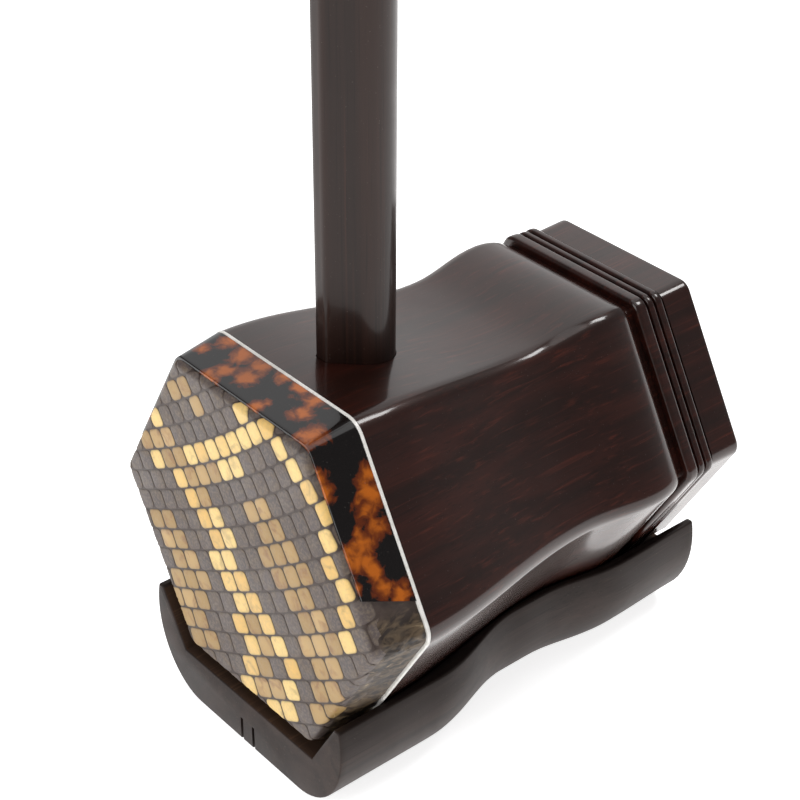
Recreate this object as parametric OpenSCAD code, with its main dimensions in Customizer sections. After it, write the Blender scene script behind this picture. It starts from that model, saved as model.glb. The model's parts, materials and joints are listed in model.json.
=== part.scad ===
// Erhu: an upright two-stringed fiddle with a six-sided sound box, shown without its strings.
// Millimetres. +Z runs up the neck and the skin faces -Y. The origin lies on the plane that the
// cradle stands on, midway between the foremost and the rearmost point of the instrument.

/* [Sound box] */
// Width across flats at the white line behind the skin
box_af = 88; // [80:0.5:100]
// Length from the skin to the rear face
box_len = 121.5; // [110:0.5:146]
// Width across flats at the waist
waist_af = 76; // [72:0.5:84]
// Distance of the waist behind the skin
waist_y = 70; // [60:1:84]
// Width across flats at the swelling behind the waist
swell_af = 80.6; // [76:0.1:88]
// Length of the rounded shoulder behind the swelling
shoulder_len = 9; // [6:0.5:11]
// How far the shoulder falls on each side
shoulder_drop = 3; // [1:0.5:4]
// Thickness of the staves
wall_t = 7; // [5:0.5:8.5]
// Corner radius at the front
corner_r = 5.5; // [4.5:0.5:7]
// Corner radius at the rear
rear_corner_r = 4; // [3:0.5:5]

/* [Skin and trim] */
// Thickness of the skin
skin_t = 0.6; // [0.4:0.1:1]
// How much narrower the skin's face is than the white line, on each side
rim_drop = 2.7; // [2:0.1:3.5]
// Radius of the skin's front rim
rim_r = 1.2; // [0.6:0.1:2]
// Thickness of the tortoiseshell band
band_t = 0.7; // [0.4:0.1:1]
// Distance of the band's rear edge behind the skin's face
band_w = 13.2; // [10:0.1:16]
// Distance of each end of the band from the side corner below it, at the front
band_end = 14.4; // [11:0.1:18]
// How much further each end of the band runs down at its rear edge
band_slant = 5; // [0:0.5:6]
// Width of the white line
line_w = 0.9; // [0.6:0.1:1.5]

/* [Rear end] */
// Width of the ridged collar along the box
collar_w = 12.1; // [11.8:0.1:15]
// Width across flats over the collar's first ridge
collar_af = 78.8; // [76:0.1:84]
// Width of the rear frame along the box
frame_w = 9.4; // [8:0.1:12]
// Width across flats of the rear frame
frame_af = 76.4; // [74:0.1:84]
// Width across flats of the sound window
window_af = 57; // [48:1:60]
// Thickness of the sound window's lattice
window_t = 3; // [2:0.5:4]

/* [Neck and head] */
// Height of the whole instrument
total_h = 810; // [680:5:960]
// Width of the neck
neck_w = 16.4; // [14:0.1:20]
// How much deeper than wide the neck is, from its front edge to its round back
neck_ridge = 3.1; // [2:0.1:5]
// Width of the neck's narrow front edge
neck_edge_w = 3.8; // [2:0.1:6]
// Distance of the neck's front edge behind the skin
neck_set = 23.8; // [20:0.1:30]
// Radius of the head's backward bend
head_r = 56; // [45:1:70]
// Angle of the head's bend
head_angle = 68; // [50:1:80]
// How much the section grows along the head
head_growth = 0.3; // [0:0.05:0.5]
// Thickness of the head's bone plate
plate_t = 2.5; // [1.5:0.5:4]

/* [Tuning pegs] */
// Height of the outer string's peg, the lower one
outer_peg_z = 628; // [520:1:640]
// Distance from the lower peg up to the inner string's peg
peg_pitch = 68; // [50:1:80]
// Radius of a peg where it turns in the neck
journal_r = 4.5; // [3.5:0.1:5]
// Running clearance round the journal
journal_gap = 0.05; // [0.02:0.01:0.1]
// Length of the string end in front of the neck
string_end = 24; // [18:0.5:30]
// Radius of the string end
string_r = 3.8; // [3:0.1:4.4]
// Radius of the hole for the string
string_hole_r = 0.9; // [0.6:0.1:1.2]
// Length of the shank between the neck and the grip
shank_len = 13; // [10:0.5:18]
// Length of the grip
grip_len = 100; // [80:1:125]
// Largest radius of the grip
grip_r = 12.5; // [10:0.5:15]
// Number of flutes on the grip
flutes = 8; // [6:1:10]
// Length of the bone button on the grip's end
button_len = 7; // [5:0.5:10]

/* [Cradle] */
// Thickness of the cradle under the sound box
cradle_t = 14; // [13:0.5:18]
// Width of the cradle at the front
cradle_w = 73.6; // [70:0.2:90]
// How far each side comes in at the waist
cradle_waist_in = 7.1; // [5:0.1:7.5]
// How far each side is in at the swelling
cradle_swell_in = 3.6; // [2:0.1:3.8]
// How far the cradle reaches in front of the skin
cradle_lap = 1; // [0.5:0.5:3]
// Height of the wing tips above the underside
wing_h = 28.5; // [26:0.5:32]
// Width of the rounded lower corners
round_w = 16.8; // [12:0.2:18]
// Height of the rounded lower corners
round_h = 22; // [18:0.5:25]
// Distance between the two string slots
slot_pitch = 4.6; // [4:0.1:8]
// Width of a string slot
slot_w = 1; // [0.8:0.1:1.5]
// Height of the string slots
slot_h = 7; // [6:0.5:9]
// Depth of the pocket for the strings' tails
pocket_h = 6; // [5:0.5:6.5]
// Depth of the neck's foot in the cradle
foot_h = 3; // [2:0.5:3.5]

/* [Fastenings] */
// Radius of the cradle screws
screw_r = 2; // [1.5:0.1:2.5]
// Length of the cradle screws under the head
screw_len = 16; // [14:0.5:18]
// Radius of the screw heads
screw_head_r = 4; // [3.5:0.1:5]
// Height of the screw heads
screw_head_h = 2.2; // [1.5:0.1:2.6]
// Thickness of the washers
washer_t = 0.8; // [0.5:0.1:1]
// Radius of the tail pin
tail_pin_r = 2; // [1.5:0.1:2.5]
// Length of the tail pin in the open
tail_pin_len = 5; // [4:0.5:5]
// Length of the tail pin's root in the wood
tail_root_len = 4; // [3:0.5:5]
// Radius of the tail pin's root, which leaves a shoulder for the pin to seat on
tail_root_r = 1.5; // [1:0.1:1.8]

/* [Fits] */
// Gap between the sound box and the cradle
seat_gap = 0.3; // [0.2:0.05:0.5]
// Gap round the neck where it passes through the wood
neck_gap = 0.15; // [0.1:0.05:0.3]
// Gap round screws, pins and rings
hole_gap = 0.05; // [0.03:0.01:0.1]
// Gap between the pegs and the neck's back
peg_gap = 0.4; // [0.3:0.1:1]
// Thickness of the wedge behind the neck's foot
wedge_t = 1.6; // [1:0.1:2.5]

/* [Hidden] */

ROSEWOOD = "#3a1a12";
DARK_WOOD = "#1f1613";
BONE = "#ece4cf";
BRASS = "#c9a24a";
STEEL = "#9a9c9e";

// Stations along the sound box, counted back from the skin's face
front_a = box_af / 2;
waist_a = waist_af / 2;
swell_a = swell_af / 2;
rim_a = front_a - rim_drop;
line_end = band_w + line_w;
frame_y = box_len - frame_w;
stave_end = frame_y - collar_w;
swell_y = stave_end - shoulder_len;

// The cradle's underside, below the sound box's axis
foot_z = front_a + cradle_t;

// The neck's section: a narrow front edge whose sides run tangent into a round back
back_r = neck_w / 2;
neck_depth = neck_w + neck_ridge;
neck_y = neck_set + neck_depth - back_r;
neck_foot_z = -front_a - foot_h;

// The head starts where the top of its bend comes out at the full height
head_top_r = head_r + (neck_depth - back_r) * (1 + head_growth);
head_z = total_h - foot_z - head_top_r * sin(head_angle) - plate_t * cos(head_angle);

// A peg's stations along its axis, counted from its string end
peg_front = neck_set - string_end;
peg_back = string_end + neck_depth + peg_gap;
ring_len = 3;
grip_start = peg_back + shank_len;
peg_len = grip_start + grip_len;
shank_r = journal_r + 1.1;

// The origin in the sound box's own coordinates
origin_y = (min(-cradle_lap, peg_front) + peg_front + peg_len + button_len) / 2;

// The pocket under the cradle, behind the string slots
pocket_w = 20;
pocket_y0 = 10;
pocket_y1 = neck_y + 8;
tail_y = pocket_y0 + 10;
rear_screw_y = swell_y + 2;
ceiling_z = -foot_z + pocket_h;
screw_z = ceiling_z - washer_t;

function ease(t) = (1 - cos(180 * min(max(t, 0), 1))) / 2;
function mix(a, b, t) = a + (b - a) * t;
function polar(r, t) = [r * cos(t), r * sin(t)];

// Half the width across flats of the staves' outside, at a distance y behind the skin
function shoulder_a(t) = swell_a - shoulder_drop * (1 - sqrt(1 - t * t));
function body_a(y) =
    y < waist_y ? mix(front_a, waist_a, ease((y - line_end) / (waist_y - line_end)))
    : y < swell_y ? mix(waist_a, swell_a, ease((y - waist_y) / (swell_y - waist_y)))
    : shoulder_a(min((y - swell_y) / shoulder_len, 1));
function body_r(y) = mix(corner_r, rear_corner_r, y / stave_end);

// The skin's outside under the band, and the wood's outside under the skin
function skin_a(y) = mix(rim_a, front_a - band_t, y / band_w);
function wood_a(y) = skin_a(y) - skin_t;

// Moves a piece from the sound box's coordinates to the instrument's frame
module placed() {
    translate([0, -origin_y, foot_z])
        children();
}

// A solid swept through rings of points; every ring has as many points as the first
module loft(rings) {
    n = len(rings[0]);
    last = len(rings) - 1;
    sides = [for (k = [0:last - 1], i = [0:n - 1])
        [k * n + i, k * n + (i + 1) % n, (k + 1) * n + (i + 1) % n, (k + 1) * n + i]];
    start = [for (i = [n - 1:-1:0]) i];
    end = [for (i = [0:n - 1]) last * n + i];
    polyhedron([for (ring = rings) each ring], concat([start], sides, [end]), convexity = 6);
}

// The same, with the last ring joined to the first
module closed_loft(rings) {
    n = len(rings[0]);
    m = len(rings);
    polyhedron([for (ring = rings) each ring],
               [for (k = [0:m - 1], i = [0:n - 1])
                   [k * n + i, k * n + (i + 1) % n, (k + 1) % m * n + (i + 1) % n,
                    (k + 1) % m * n + i]], convexity = 6);
}

// One stave's section, normal up: rounded outer corners shared with its neighbours, flat inside
function stave_ring(y, a, r) =
    let (c = (a - r) / cos(30), inner = (body_a(max(y, line_end)) - wall_t) / cos(30),
         right = [for (t = [60:6:90]) polar(c, 60) + polar(r, t)],
         left = [for (t = [90:6:120]) polar(c, 120) + polar(r, t)],
         outline = concat(right, left, [polar(inner, 120), polar(inner, 60)]))
    [for (p = outline) [p.x, y, p.y]];

module stave(turn) {
    corner_a = front_a - corner_r;
    under_skin = [for (y = [skin_t, line_end]) stave_ring(y, wood_a(y), wood_a(y) - corner_a)];
    long = 24;
    body = [for (i = [0:long]) let (y = mix(line_end, swell_y, i / long))
        stave_ring(y, body_a(y), body_r(y))];
    shoulder = [for (t = [18:18:90]) let (y = swell_y + shoulder_len * sin(t))
        stave_ring(y, body_a(y), body_r(y))];
    color(ROSEWOOD)
        placed()
            rotate([0, -turn, 0])
                loft(concat(under_skin, body, shoulder));
}

// The neck's outline seen from above, centred on its round back, grown by a gap
function neck_outline(gap) =
    let (r = back_r + gap, w = neck_edge_w / 2 + gap / 2, d = neck_depth - back_r + gap,
         tangent = atan2(-d, w) + acos(r / norm([w, d])))
    concat([[w, -d]],
           [for (i = [0:24]) polar(r, mix(tangent, 180 - tangent, i / 24))],
           [[-w, -d]]);

module neck_prism(z0, z1, gap) {
    translate([0, neck_y, z0])
        linear_extrude(z1 - z0)
            polygon(neck_outline(gap));
}

// The slot for the wedge, behind the neck's foot in the bottom stave
module wedge_block(z0, z1, gap) {
    translate([-4 - gap, neck_y + back_r - 0.6, z0])
        cube([8 + 2 * gap, wedge_t + 0.6 + gap, z1 - z0]);
}

module stave_top() {
    difference() {
        stave(0);
        placed() neck_prism(0, front_a + 5, neck_gap);
    }
}

module stave_bottom() {
    difference() {
        stave(180);
        placed() {
            neck_prism(-front_a - 5, 0, neck_gap);
            wedge_block(-front_a - 5, -10, hole_gap);
            screw_hole(rear_screw_y);
        }
    }
}

// A six-sided prism across flats 2a, lying along the sound box between two stations
module hex_prism(a, y0, y1) {
    translate([0, y1, 0])
        rotate([90, 0, 0])
            linear_extrude(y1 - y0)
                circle(r = a / cos(30), $fn = 6);
}

// Stations round the six sides: a corner's centre and a direction, offset from a hexagon
corner_steps = 10;
function stations(centre_a, corners) = [for (k = corners, i = [0:corner_steps])
    [polar(centre_a / cos(30), 60 * k), 60 * k - 30 + 60 * i / corner_steps]];

// The ring that a moulding's outline point [distance outside centre_a, y] draws round the box
function hex_ring(centre_a, p) =
    [for (s = stations(centre_a, [0:5])) let (q = s[0] + polar(p.x, s[1])) [q.x, p.y, q.y]];

module skin_head() {
    centre_a = front_a - corner_r;
    outline = concat(
        [for (t = [-90:15:0]) [rim_a - centre_a - rim_r, rim_r] + polar(rim_r, t)],
        [[skin_a(band_w) - centre_a, band_w], [wood_a(band_w) - centre_a, band_w],
         [wood_a(skin_t) - centre_a, skin_t]]);
    color("#a08a5c")
        placed()
            loft([for (p = outline) hex_ring(centre_a, p)]);
}

// The band's section at a station, or at a point along a side for its slanted ends
function band_section(centre_a, base, turn, slide, y0) =
    let (along = polar(1, turn - 90),
         corners = [[y0, 0], [band_w, 0], [band_w, band_t], [y0, band_t]])
    [for (c = corners)
        let (q = base + polar(skin_a(c.x) - centre_a + c.y, turn)
                 + along * slide * (c.x - y0) / (band_w - y0))
        [q.x, c.x, q.y]];

module trim_band() {
    centre_a = front_a - corner_r;
    reach = front_a * tan(30) - band_end;
    first = polar(centre_a, 30) - polar(reach, 120);
    last = polar(centre_a, 150) + polar(reach, 60);
    color("#7a3c10")
        placed()
            loft(concat([band_section(centre_a, first, 30, band_slant, rim_r)],
                        [for (s = stations(centre_a, [1, 2])) band_section(centre_a, s[0], s[1], 0, rim_r)],
                        [band_section(centre_a, last, 150, -band_slant, rim_r)]));
}

module white_line() {
    centre_a = front_a - corner_r;
    proud = 0.1;
    outline = [[corner_r + proud, band_w], [corner_r + proud, line_end],
               [wood_a(line_end) - centre_a, line_end], [wood_a(band_w) - centre_a, band_w]];
    color("#f4f1ea")
        placed()
            closed_loft([for (p = outline) hex_ring(centre_a, p)]);
}

// The outline of one ridge with rounded shoulders, standing on a moulding
function ridge(y0, w, h, r) = concat(
    [for (t = [-90:30:0]) [h - r, y0 + r] + polar(r, t)],
    [for (t = [0:30:90]) [h - r, y0 + w - r] + polar(r, t)]);

module rear_collar() {
    centre_a = collar_af / 2 - rear_corner_r;
    floor_h = rear_corner_r - 2.4;
    // Each ridge's start, its width, how much lower than the first it stands, its shoulders' radius
    ridges = [[1.9, 3.7, 0, 1.1], [6.2, 2, 0.3, 0.8], [8.8, 2.2, 0.3, 0.8]];
    outline = concat(
        [[floor_h, 0]],
        [for (g = ridges) each concat([[floor_h, g[0]]],
                                      ridge(g[0], g[1], rear_corner_r - g[2], g[3]),
                                      [[floor_h, g[0] + g[1]]])],
        [[floor_h, collar_w]]);
    color(ROSEWOOD)
        placed()
            translate([0, stave_end, 0])
                difference() {
                    loft([for (p = outline) hex_ring(centre_a, p)]);
                    hex_prism(shoulder_a(1) - wall_t, -1, collar_w + 1);
                }
}

module rear_frame() {
    centre_a = frame_af / 2 - rear_corner_r;
    edge_r = 0.8;
    outline = concat(
        [[rear_corner_r - 0.3, 0]],
        [for (t = [0:30:90]) [rear_corner_r - edge_r, frame_w - edge_r] + polar(edge_r, t)]);
    color(ROSEWOOD)
        placed()
            translate([0, frame_y, 0])
                difference() {
                    loft([for (p = outline) hex_ring(centre_a, p)]);
                    hex_prism(window_af / 2, -1, frame_w + 1);
                }
}

// A pierced lattice: an outer border, a ring and a rosette joined by six bars
module sound_window() {
    border = 3;
    bar_w = 2.4;
    ring_r = 17;
    rosette_r = 8;
    half = window_af / 2 - hole_gap;
    color(DARK_WOOD)
        placed()
            translate([0, frame_y + 2 + window_t, 0])
                rotate([90, 0, 0])
                    linear_extrude(window_t) {
                        difference() {
                            circle(r = half / cos(30), $fn = 6);
                            circle(r = (half - border) / cos(30), $fn = 6);
                        }
                        difference() {
                            circle(r = ring_r + bar_w / 2, $fn = 96);
                            circle(r = ring_r - bar_w / 2, $fn = 96);
                        }
                        difference() {
                            circle(r = rosette_r, $fn = 64);
                            circle(r = rosette_r - bar_w, $fn = 64);
                        }
                        for (turn = [30:60:330])
                            rotate(turn)
                                translate([rosette_r - 1, -bar_w / 2])
                                    square([half - border / 2 - rosette_r + 1, bar_w]);
                    }
}

module screw_hole(y) {
    translate([0, y, -foot_z])
        cylinder(r = screw_r + hole_gap, h = screw_z + screw_len + foot_z + 1, $fn = 48);
}

module neck() {
    color(DARK_WOOD)
        placed()
            difference() {
                neck_prism(neck_foot_z, head_z, 0);
                screw_hole(neck_y);
                for (z = [outer_peg_z, outer_peg_z + peg_pitch])
                    translate([0, neck_set - 1, z - foot_z])
                        rotate([-90, 0, 0])
                            cylinder(r = journal_r + journal_gap, h = neck_depth + 2, $fn = 96);
            }
}

module neck_wedge() {
    outer = body_a(neck_y + back_r + wedge_t);
    color(DARK_WOOD)
        placed()
            difference() {
                wedge_block(-outer, -outer + wall_t, 0);
                neck_prism(-foot_z, 0, neck_gap);
            }
}

// The head's section at a share t of its bend
function head_ring(t) =
    let (turn = head_angle * t, grow = 1 + head_growth * ease(t))
    [for (p = neck_outline(0)) let (out = head_r - p.y * grow)
        [p.x * mix(1, grow, 0.5), neck_y + head_r - out * cos(turn), head_z + out * sin(turn)]];

module head() {
    color(DARK_WOOD)
        placed()
            loft([for (i = [0:16]) head_ring(i / 16)]);
}

module head_plate() {
    grow = 1 + head_growth;
    color(BONE)
        placed()
            translate([0, neck_y + head_r, head_z])
                rotate([-head_angle, 0, 0])
                    translate([0, -head_r, 0])
                        linear_extrude(plate_t)
                            polygon([for (p = neck_outline(0)) [p.x * mix(1, grow, 0.5), p.y * grow]]);
}

// A peg's wooden shank and grip, revolved round its axis and fluted
module peg_body() {
    round_end = 0.8;
    collar_r = shank_r + 1.6;
    grip_root = collar_r - 0.6;
    outline = concat(
        [[0, 0], [string_r - round_end, 0], [string_r, round_end],
         [string_r, string_end - 4], [journal_r, string_end - 3],
         [journal_r, peg_back], [shank_r, peg_back], [shank_r, peg_back + shank_len - ring_len - 2],
         [journal_r, peg_back + shank_len - ring_len - 2], [journal_r, grip_start],
         [grip_root, grip_start]],
        [for (i = [0:10]) [mix(grip_root, grip_r, ease(i / 10)),
                           mix(grip_start + 2, peg_len - 8, i / 10)]],
        [for (t = [15:15:75]) [grip_r - 5 + 5 * cos(t), peg_len - 8 + 8 * sin(t)]],
        [[0, peg_len - 8 + 8 * sin(75)]]);
    lean = atan2(grip_r - grip_root, grip_len - 10);
    difference() {
        rotate_extrude($fn = 96)
            polygon(outline);
        translate([0, 0, string_end / 2])
            rotate([0, 90, 0])
                cylinder(r = string_hole_r, h = 4 * string_r, center = true, $fn = 32);
        for (k = [0:flutes - 1])
            rotate([0, 0, k * 360 / flutes])
                translate([grip_root + 1.1, 0, grip_start + 6])
                    rotate([0, lean * 1.15, 0])
                        cylinder(r = 1.9, h = grip_len, $fn = 32);
    }
}

module peg_ring() {
    r0 = journal_r + hole_gap;
    r1 = shank_r + 2;
    translate([0, 0, grip_start - ring_len - 1])
        rotate_extrude($fn = 96)
            polygon([[r0, 0], [r1 - 0.8, 0], [r1, 0.8], [r1, ring_len + 0.2], [r1 - 0.8, ring_len + 1],
                     [r0, ring_len + 1]]);
}

module peg_button() {
    foot_r = grip_r - 5 + 5 * cos(75);
    start = peg_len - 8 + 8 * sin(75);
    top = peg_len + button_len - start;
    translate([0, 0, start])
        rotate_extrude($fn = 96)
            polygon(concat([[0, 0], [foot_r - 1.5, 0]],
                           [for (t = [0:15:90]) [(foot_r - 1.5) * cos(t), 1 + (top - 1) * sin(t)]]));
}

// Lays a peg through the neck at a height above the underside
module at_peg(z) {
    placed()
        translate([0, peg_front, z - foot_z])
            rotate([-90, 0, 0])
                children();
}

// The cradle's half width, which follows the sound box's waist and swelling
function cradle_half(y) =
    let (in_start = waist_y - 40, in_end = waist_y - 9, out_end = swell_y + 4,
         tail_in = 0.8)
    cradle_w / 2 - (
        y < waist_y ? cradle_waist_in * ease((y - in_start) / (in_end - in_start))
        : y < out_end ? mix(cradle_waist_in, cradle_swell_in, ease((y - waist_y) / (out_end - waist_y)))
        : cradle_swell_in + tail_in * ease((y - out_end) / (box_len - out_end)));
function cradle_in(y) = seat_gap + (y < line_end ? front_a : y < swell_y ? body_a(y) : swell_a);

function cradle_ring(y) =
    let (w = cradle_half(y), tip = asin(wing_h / round_h - 1),
         right = [for (i = [0:12]) let (t = mix(tip, -90, i / 12))
             [w - round_w + round_w * cos(t), -foot_z + round_h + round_h * sin(t)]],
         left = [for (i = [12:-1:0]) [-right[i].x, right[i].y]],
         outline = concat(right, left))
    [for (i = [len(outline) - 1:-1:0]) [outline[i].x, y, outline[i].y]];

// The channel that the sound box lies in: its three lower faces, kept apart by the seat gap
module cradle_channel() {
    steps = 28;
    past = 20;
    side = concat([[-past, -foot_z], [-past, cradle_in(0)]],
                  [for (i = [0:steps]) let (y = mix(line_end, swell_y, i / steps)) [y, cradle_in(y)]],
                  [[box_len + past, cradle_in(box_len)], [box_len + past, -foot_z]]);
    intersection_for (turn = [120, 180, 240])
        rotate([0, turn, 0])
            rotate([90, 0, 90])
                translate([0, 0, -box_af])
                    linear_extrude(2 * box_af)
                        polygon(side);
}

module cradle() {
    steps = 36;
    color(DARK_WOOD)
        placed()
            difference() {
                loft([for (i = [0:steps]) cradle_ring(mix(-cradle_lap, box_len, i / steps))]);
                cradle_channel();
                for (side = [-1, 1])
                    translate([side * slot_pitch / 2 - slot_w / 2, -cradle_lap - 1, -foot_z - 1])
                        cube([slot_w, pocket_y0 + cradle_lap + 2, slot_h + 1]);
                translate([-pocket_w / 2, pocket_y0, -foot_z - 1])
                    cube([pocket_w, pocket_y1 - pocket_y0, pocket_h + 1]);
                translate([0, rear_screw_y, -foot_z - 1])
                    cylinder(r = screw_head_r + 2, h = pocket_h + 1, $fn = 64);
                screw_hole(neck_y);
                screw_hole(rear_screw_y);
                translate([0, tail_y, ceiling_z - 1])
                    cylinder(r = tail_root_r + hole_gap, h = tail_root_len + 1, $fn = 48);
                neck_prism(neck_foot_z, 0, neck_gap);
            }
}

module each_screw() {
    for (y = [neck_y, rear_screw_y])
        translate([0, y, screw_z])
            children();
}

module cradle_screws() {
    color(STEEL)
        placed()
            each_screw() {
                cylinder(r = screw_r, h = screw_len, $fn = 48);
                difference() {
                    translate([0, 0, -screw_head_h])
                        cylinder(r = screw_head_r, h = screw_head_h, $fn = 64);
                    translate([-screw_head_r - 1, -0.5, -screw_head_h - 1])
                        cube([2 * screw_head_r + 2, 1, 2]);
                }
            }
}

module screw_washers() {
    color(STEEL)
        placed()
            each_screw()
                difference() {
                    cylinder(r = screw_head_r + 1, h = washer_t, $fn = 64);
                    translate([0, 0, -1])
                        cylinder(r = screw_r + hole_gap, h = washer_t + 2, $fn = 48);
                }
}

module tail_pin() {
    color(BRASS)
        placed()
            translate([0, tail_y, ceiling_z - tail_pin_len]) {
                cylinder(r = tail_pin_r, h = tail_pin_len, $fn = 48);
                cylinder(r = tail_root_r, h = tail_pin_len + tail_root_len, $fn = 48);
            }
}

stave_top();
stave(-60);  // stave_upper_right
stave(-120);  // stave_lower_right
stave_bottom();
stave(120);  // stave_lower_left
stave(60);  // stave_upper_left
skin_head();
trim_band();
white_line();
rear_collar();
rear_frame();
sound_window();
neck();
neck_wedge();
head();
head_plate();
color(DARK_WOOD) at_peg(outer_peg_z + peg_pitch) peg_body();  // inner_peg
color(BONE) at_peg(outer_peg_z + peg_pitch) peg_ring();  // inner_peg_ring
color(BONE) at_peg(outer_peg_z + peg_pitch) peg_button();  // inner_peg_button
color(DARK_WOOD) at_peg(outer_peg_z) peg_body();  // outer_peg
color(BONE) at_peg(outer_peg_z) peg_ring();  // outer_peg_ring
color(BONE) at_peg(outer_peg_z) peg_button();  // outer_peg_button
cradle();
cradle_screws();
screw_washers();
tail_pin();
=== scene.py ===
"""Looks of an erhu, an upright two-stringed fiddle shown without its strings.

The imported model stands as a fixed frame. Each sub-assembly replaces its plain solids with
finished pieces of the same size: lacquered staves, a python skin laid scale by scale, a
tortoiseshell band, a waisted cradle, the neck with its curved head, and two fluted pegs.

Pieces are worked in the sound box's own coordinates, in millimetres: the origin is the
middle of the skin's face, +Y runs back along the box and +Z runs up the neck.
"""

from __future__ import annotations

import json
import logging
import math
import random
from collections.abc import Callable, Iterable, Sequence
from dataclasses import dataclass, field
from enum import Enum

import bmesh
import bpy
from bmesh.types import BMEdge, BMesh, BMFace, BMVert
from bpy.types import Material, Mesh, Node, NodeSocket, NodeTree, Object
from mathutils import Matrix, Vector, noise

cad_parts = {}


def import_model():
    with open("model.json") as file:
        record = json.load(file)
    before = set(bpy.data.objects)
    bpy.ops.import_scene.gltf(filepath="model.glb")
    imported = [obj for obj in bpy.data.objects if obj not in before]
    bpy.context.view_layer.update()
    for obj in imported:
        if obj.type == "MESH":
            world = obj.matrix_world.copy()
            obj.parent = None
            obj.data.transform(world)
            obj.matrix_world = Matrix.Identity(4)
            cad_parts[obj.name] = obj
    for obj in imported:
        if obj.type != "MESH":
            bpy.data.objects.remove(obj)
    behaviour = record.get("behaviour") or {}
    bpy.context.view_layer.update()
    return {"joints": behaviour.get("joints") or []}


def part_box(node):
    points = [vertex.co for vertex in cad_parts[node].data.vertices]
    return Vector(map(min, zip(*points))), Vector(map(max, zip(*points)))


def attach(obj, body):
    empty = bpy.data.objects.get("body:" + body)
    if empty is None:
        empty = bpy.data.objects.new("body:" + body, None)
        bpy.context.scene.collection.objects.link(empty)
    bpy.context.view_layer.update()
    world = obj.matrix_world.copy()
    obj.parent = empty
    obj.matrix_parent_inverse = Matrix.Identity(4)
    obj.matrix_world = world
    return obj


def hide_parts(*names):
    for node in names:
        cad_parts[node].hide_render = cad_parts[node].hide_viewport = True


MM = 0.001
COS30 = math.cos(math.radians(30))
TAN30 = math.tan(math.radians(30))

# Where a Mix node that is set to colour keeps its sockets.
MIX_SHARE, MIX_A, MIX_B, MIX_RESULT = 0, 6, 7, 2

Section = Sequence[Vector]
Paint = tuple[float, float, float, float]

log = logging.getLogger("erhu")


# --- Small helpers ---------------------------------------------------------------------------


def paint(code: str) -> Paint:
    """Turns a colour code into linear light.

    Args:
        code: Six hexadecimal digits, red first.

    Returns:
        Red, green, blue and a full alpha.
    """
    shares = [int(code[i : i + 2], 16) / 255 for i in (0, 2, 4)]
    linear = [s / 12.92 if s <= 0.04045 else ((s + 0.055) / 1.055) ** 2.4 for s in shares]
    return (linear[0], linear[1], linear[2], 1.0)


def polar(radius: float, degrees: float) -> Vector:
    """Gives the flat point at a radius and an angle from +X."""
    return Vector((math.cos(math.radians(degrees)), math.sin(math.radians(degrees)))) * radius


def mix(a: float, b: float, share: float) -> float:
    """Gives the value that lies a share of the way from a to b."""
    return a + (b - a) * share


def ease(share: float) -> float:
    """Gives a share that starts and ends softly, held between 0 and 1."""
    return (1 - math.cos(math.pi * min(max(share, 0.0), 1.0))) / 2


def spread(start: float, end: float, steps: int) -> list[float]:
    """Gives evenly spaced values from start to end, both included."""
    return [mix(start, end, i / steps) for i in range(steps + 1)]


# --- Shapes ----------------------------------------------------------------------------------


class Side(Enum):
    """A side of the six-sided sound box, as the angle its face looks along."""

    TOP = 90
    UPPER_RIGHT = 30
    LOWER_RIGHT = -30
    BOTTOM = -90
    LOWER_LEFT = -150
    UPPER_LEFT = 150


@dataclass(frozen=True)
class BoxShape:
    """The sound box's outside: half widths across flats, against the distance from the skin."""

    front: float = 44.0
    waist: float = 38.0
    swell: float = 40.3
    line_end: float = 14.1
    waist_y: float = 70.0
    swell_y: float = 91.0
    shoulder_len: float = 9.0
    shoulder_drop: float = 3.0
    front_corner: float = 5.5
    rear_corner: float = 4.0
    wall: float = 7.0
    skin: float = 0.6
    band: float = 0.7
    band_end: float = 13.2
    rim_drop: float = 2.7
    rim_radius: float = 1.2
    length: float = 121.5

    @property
    def end(self) -> float:
        """Where the staves end and the collar starts."""
        return self.swell_y + self.shoulder_len

    @property
    def core(self) -> float:
        """Half width of the hexagon that the front corners are rounded from."""
        return self.front - self.front_corner

    def half(self, y: float) -> float:
        """Gives the wood's half width at a distance behind the skin.

        Args:
            y: Distance behind the skin.

        Returns:
            The half width across flats.
        """
        if y < self.waist_y:
            share = ease((y - self.line_end) / (self.waist_y - self.line_end))
            return mix(self.front, self.waist, share)
        if y < self.swell_y:
            share = ease((y - self.waist_y) / (self.swell_y - self.waist_y))
            return mix(self.waist, self.swell, share)
        share = min((y - self.swell_y) / self.shoulder_len, 1.0)
        return self.swell - self.shoulder_drop * (1 - math.sqrt(1 - share * share))

    def corner(self, y: float) -> float:
        """Gives the corner radius at a distance behind the skin."""
        return mix(self.front_corner, self.rear_corner, y / self.end)

    def skin_half(self, y: float) -> float:
        """Gives the skin's half width where it is turned back over the wood."""
        return mix(self.front - self.rim_drop, self.front - self.band, y / self.band_end)


def arc(centre: Vector, radius: float, start: float, end: float, steps: int) -> list[Vector]:
    """Gives flat points along an arc.

    Args:
        centre: The arc's centre.
        radius: Its radius.
        start: The first angle, in degrees.
        end: The last angle, in degrees.
        steps: How many straight steps stand for the arc.

    Returns:
        One point more than there are steps.
    """
    return [centre + polar(radius, turn) for turn in spread(start, end, steps)]


def across(points: Iterable[Vector], y: float) -> list[Vector]:
    """Stands flat points up in the plane at a distance behind the skin."""
    return [Vector((p.x, y, p.y)) for p in points]


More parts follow.
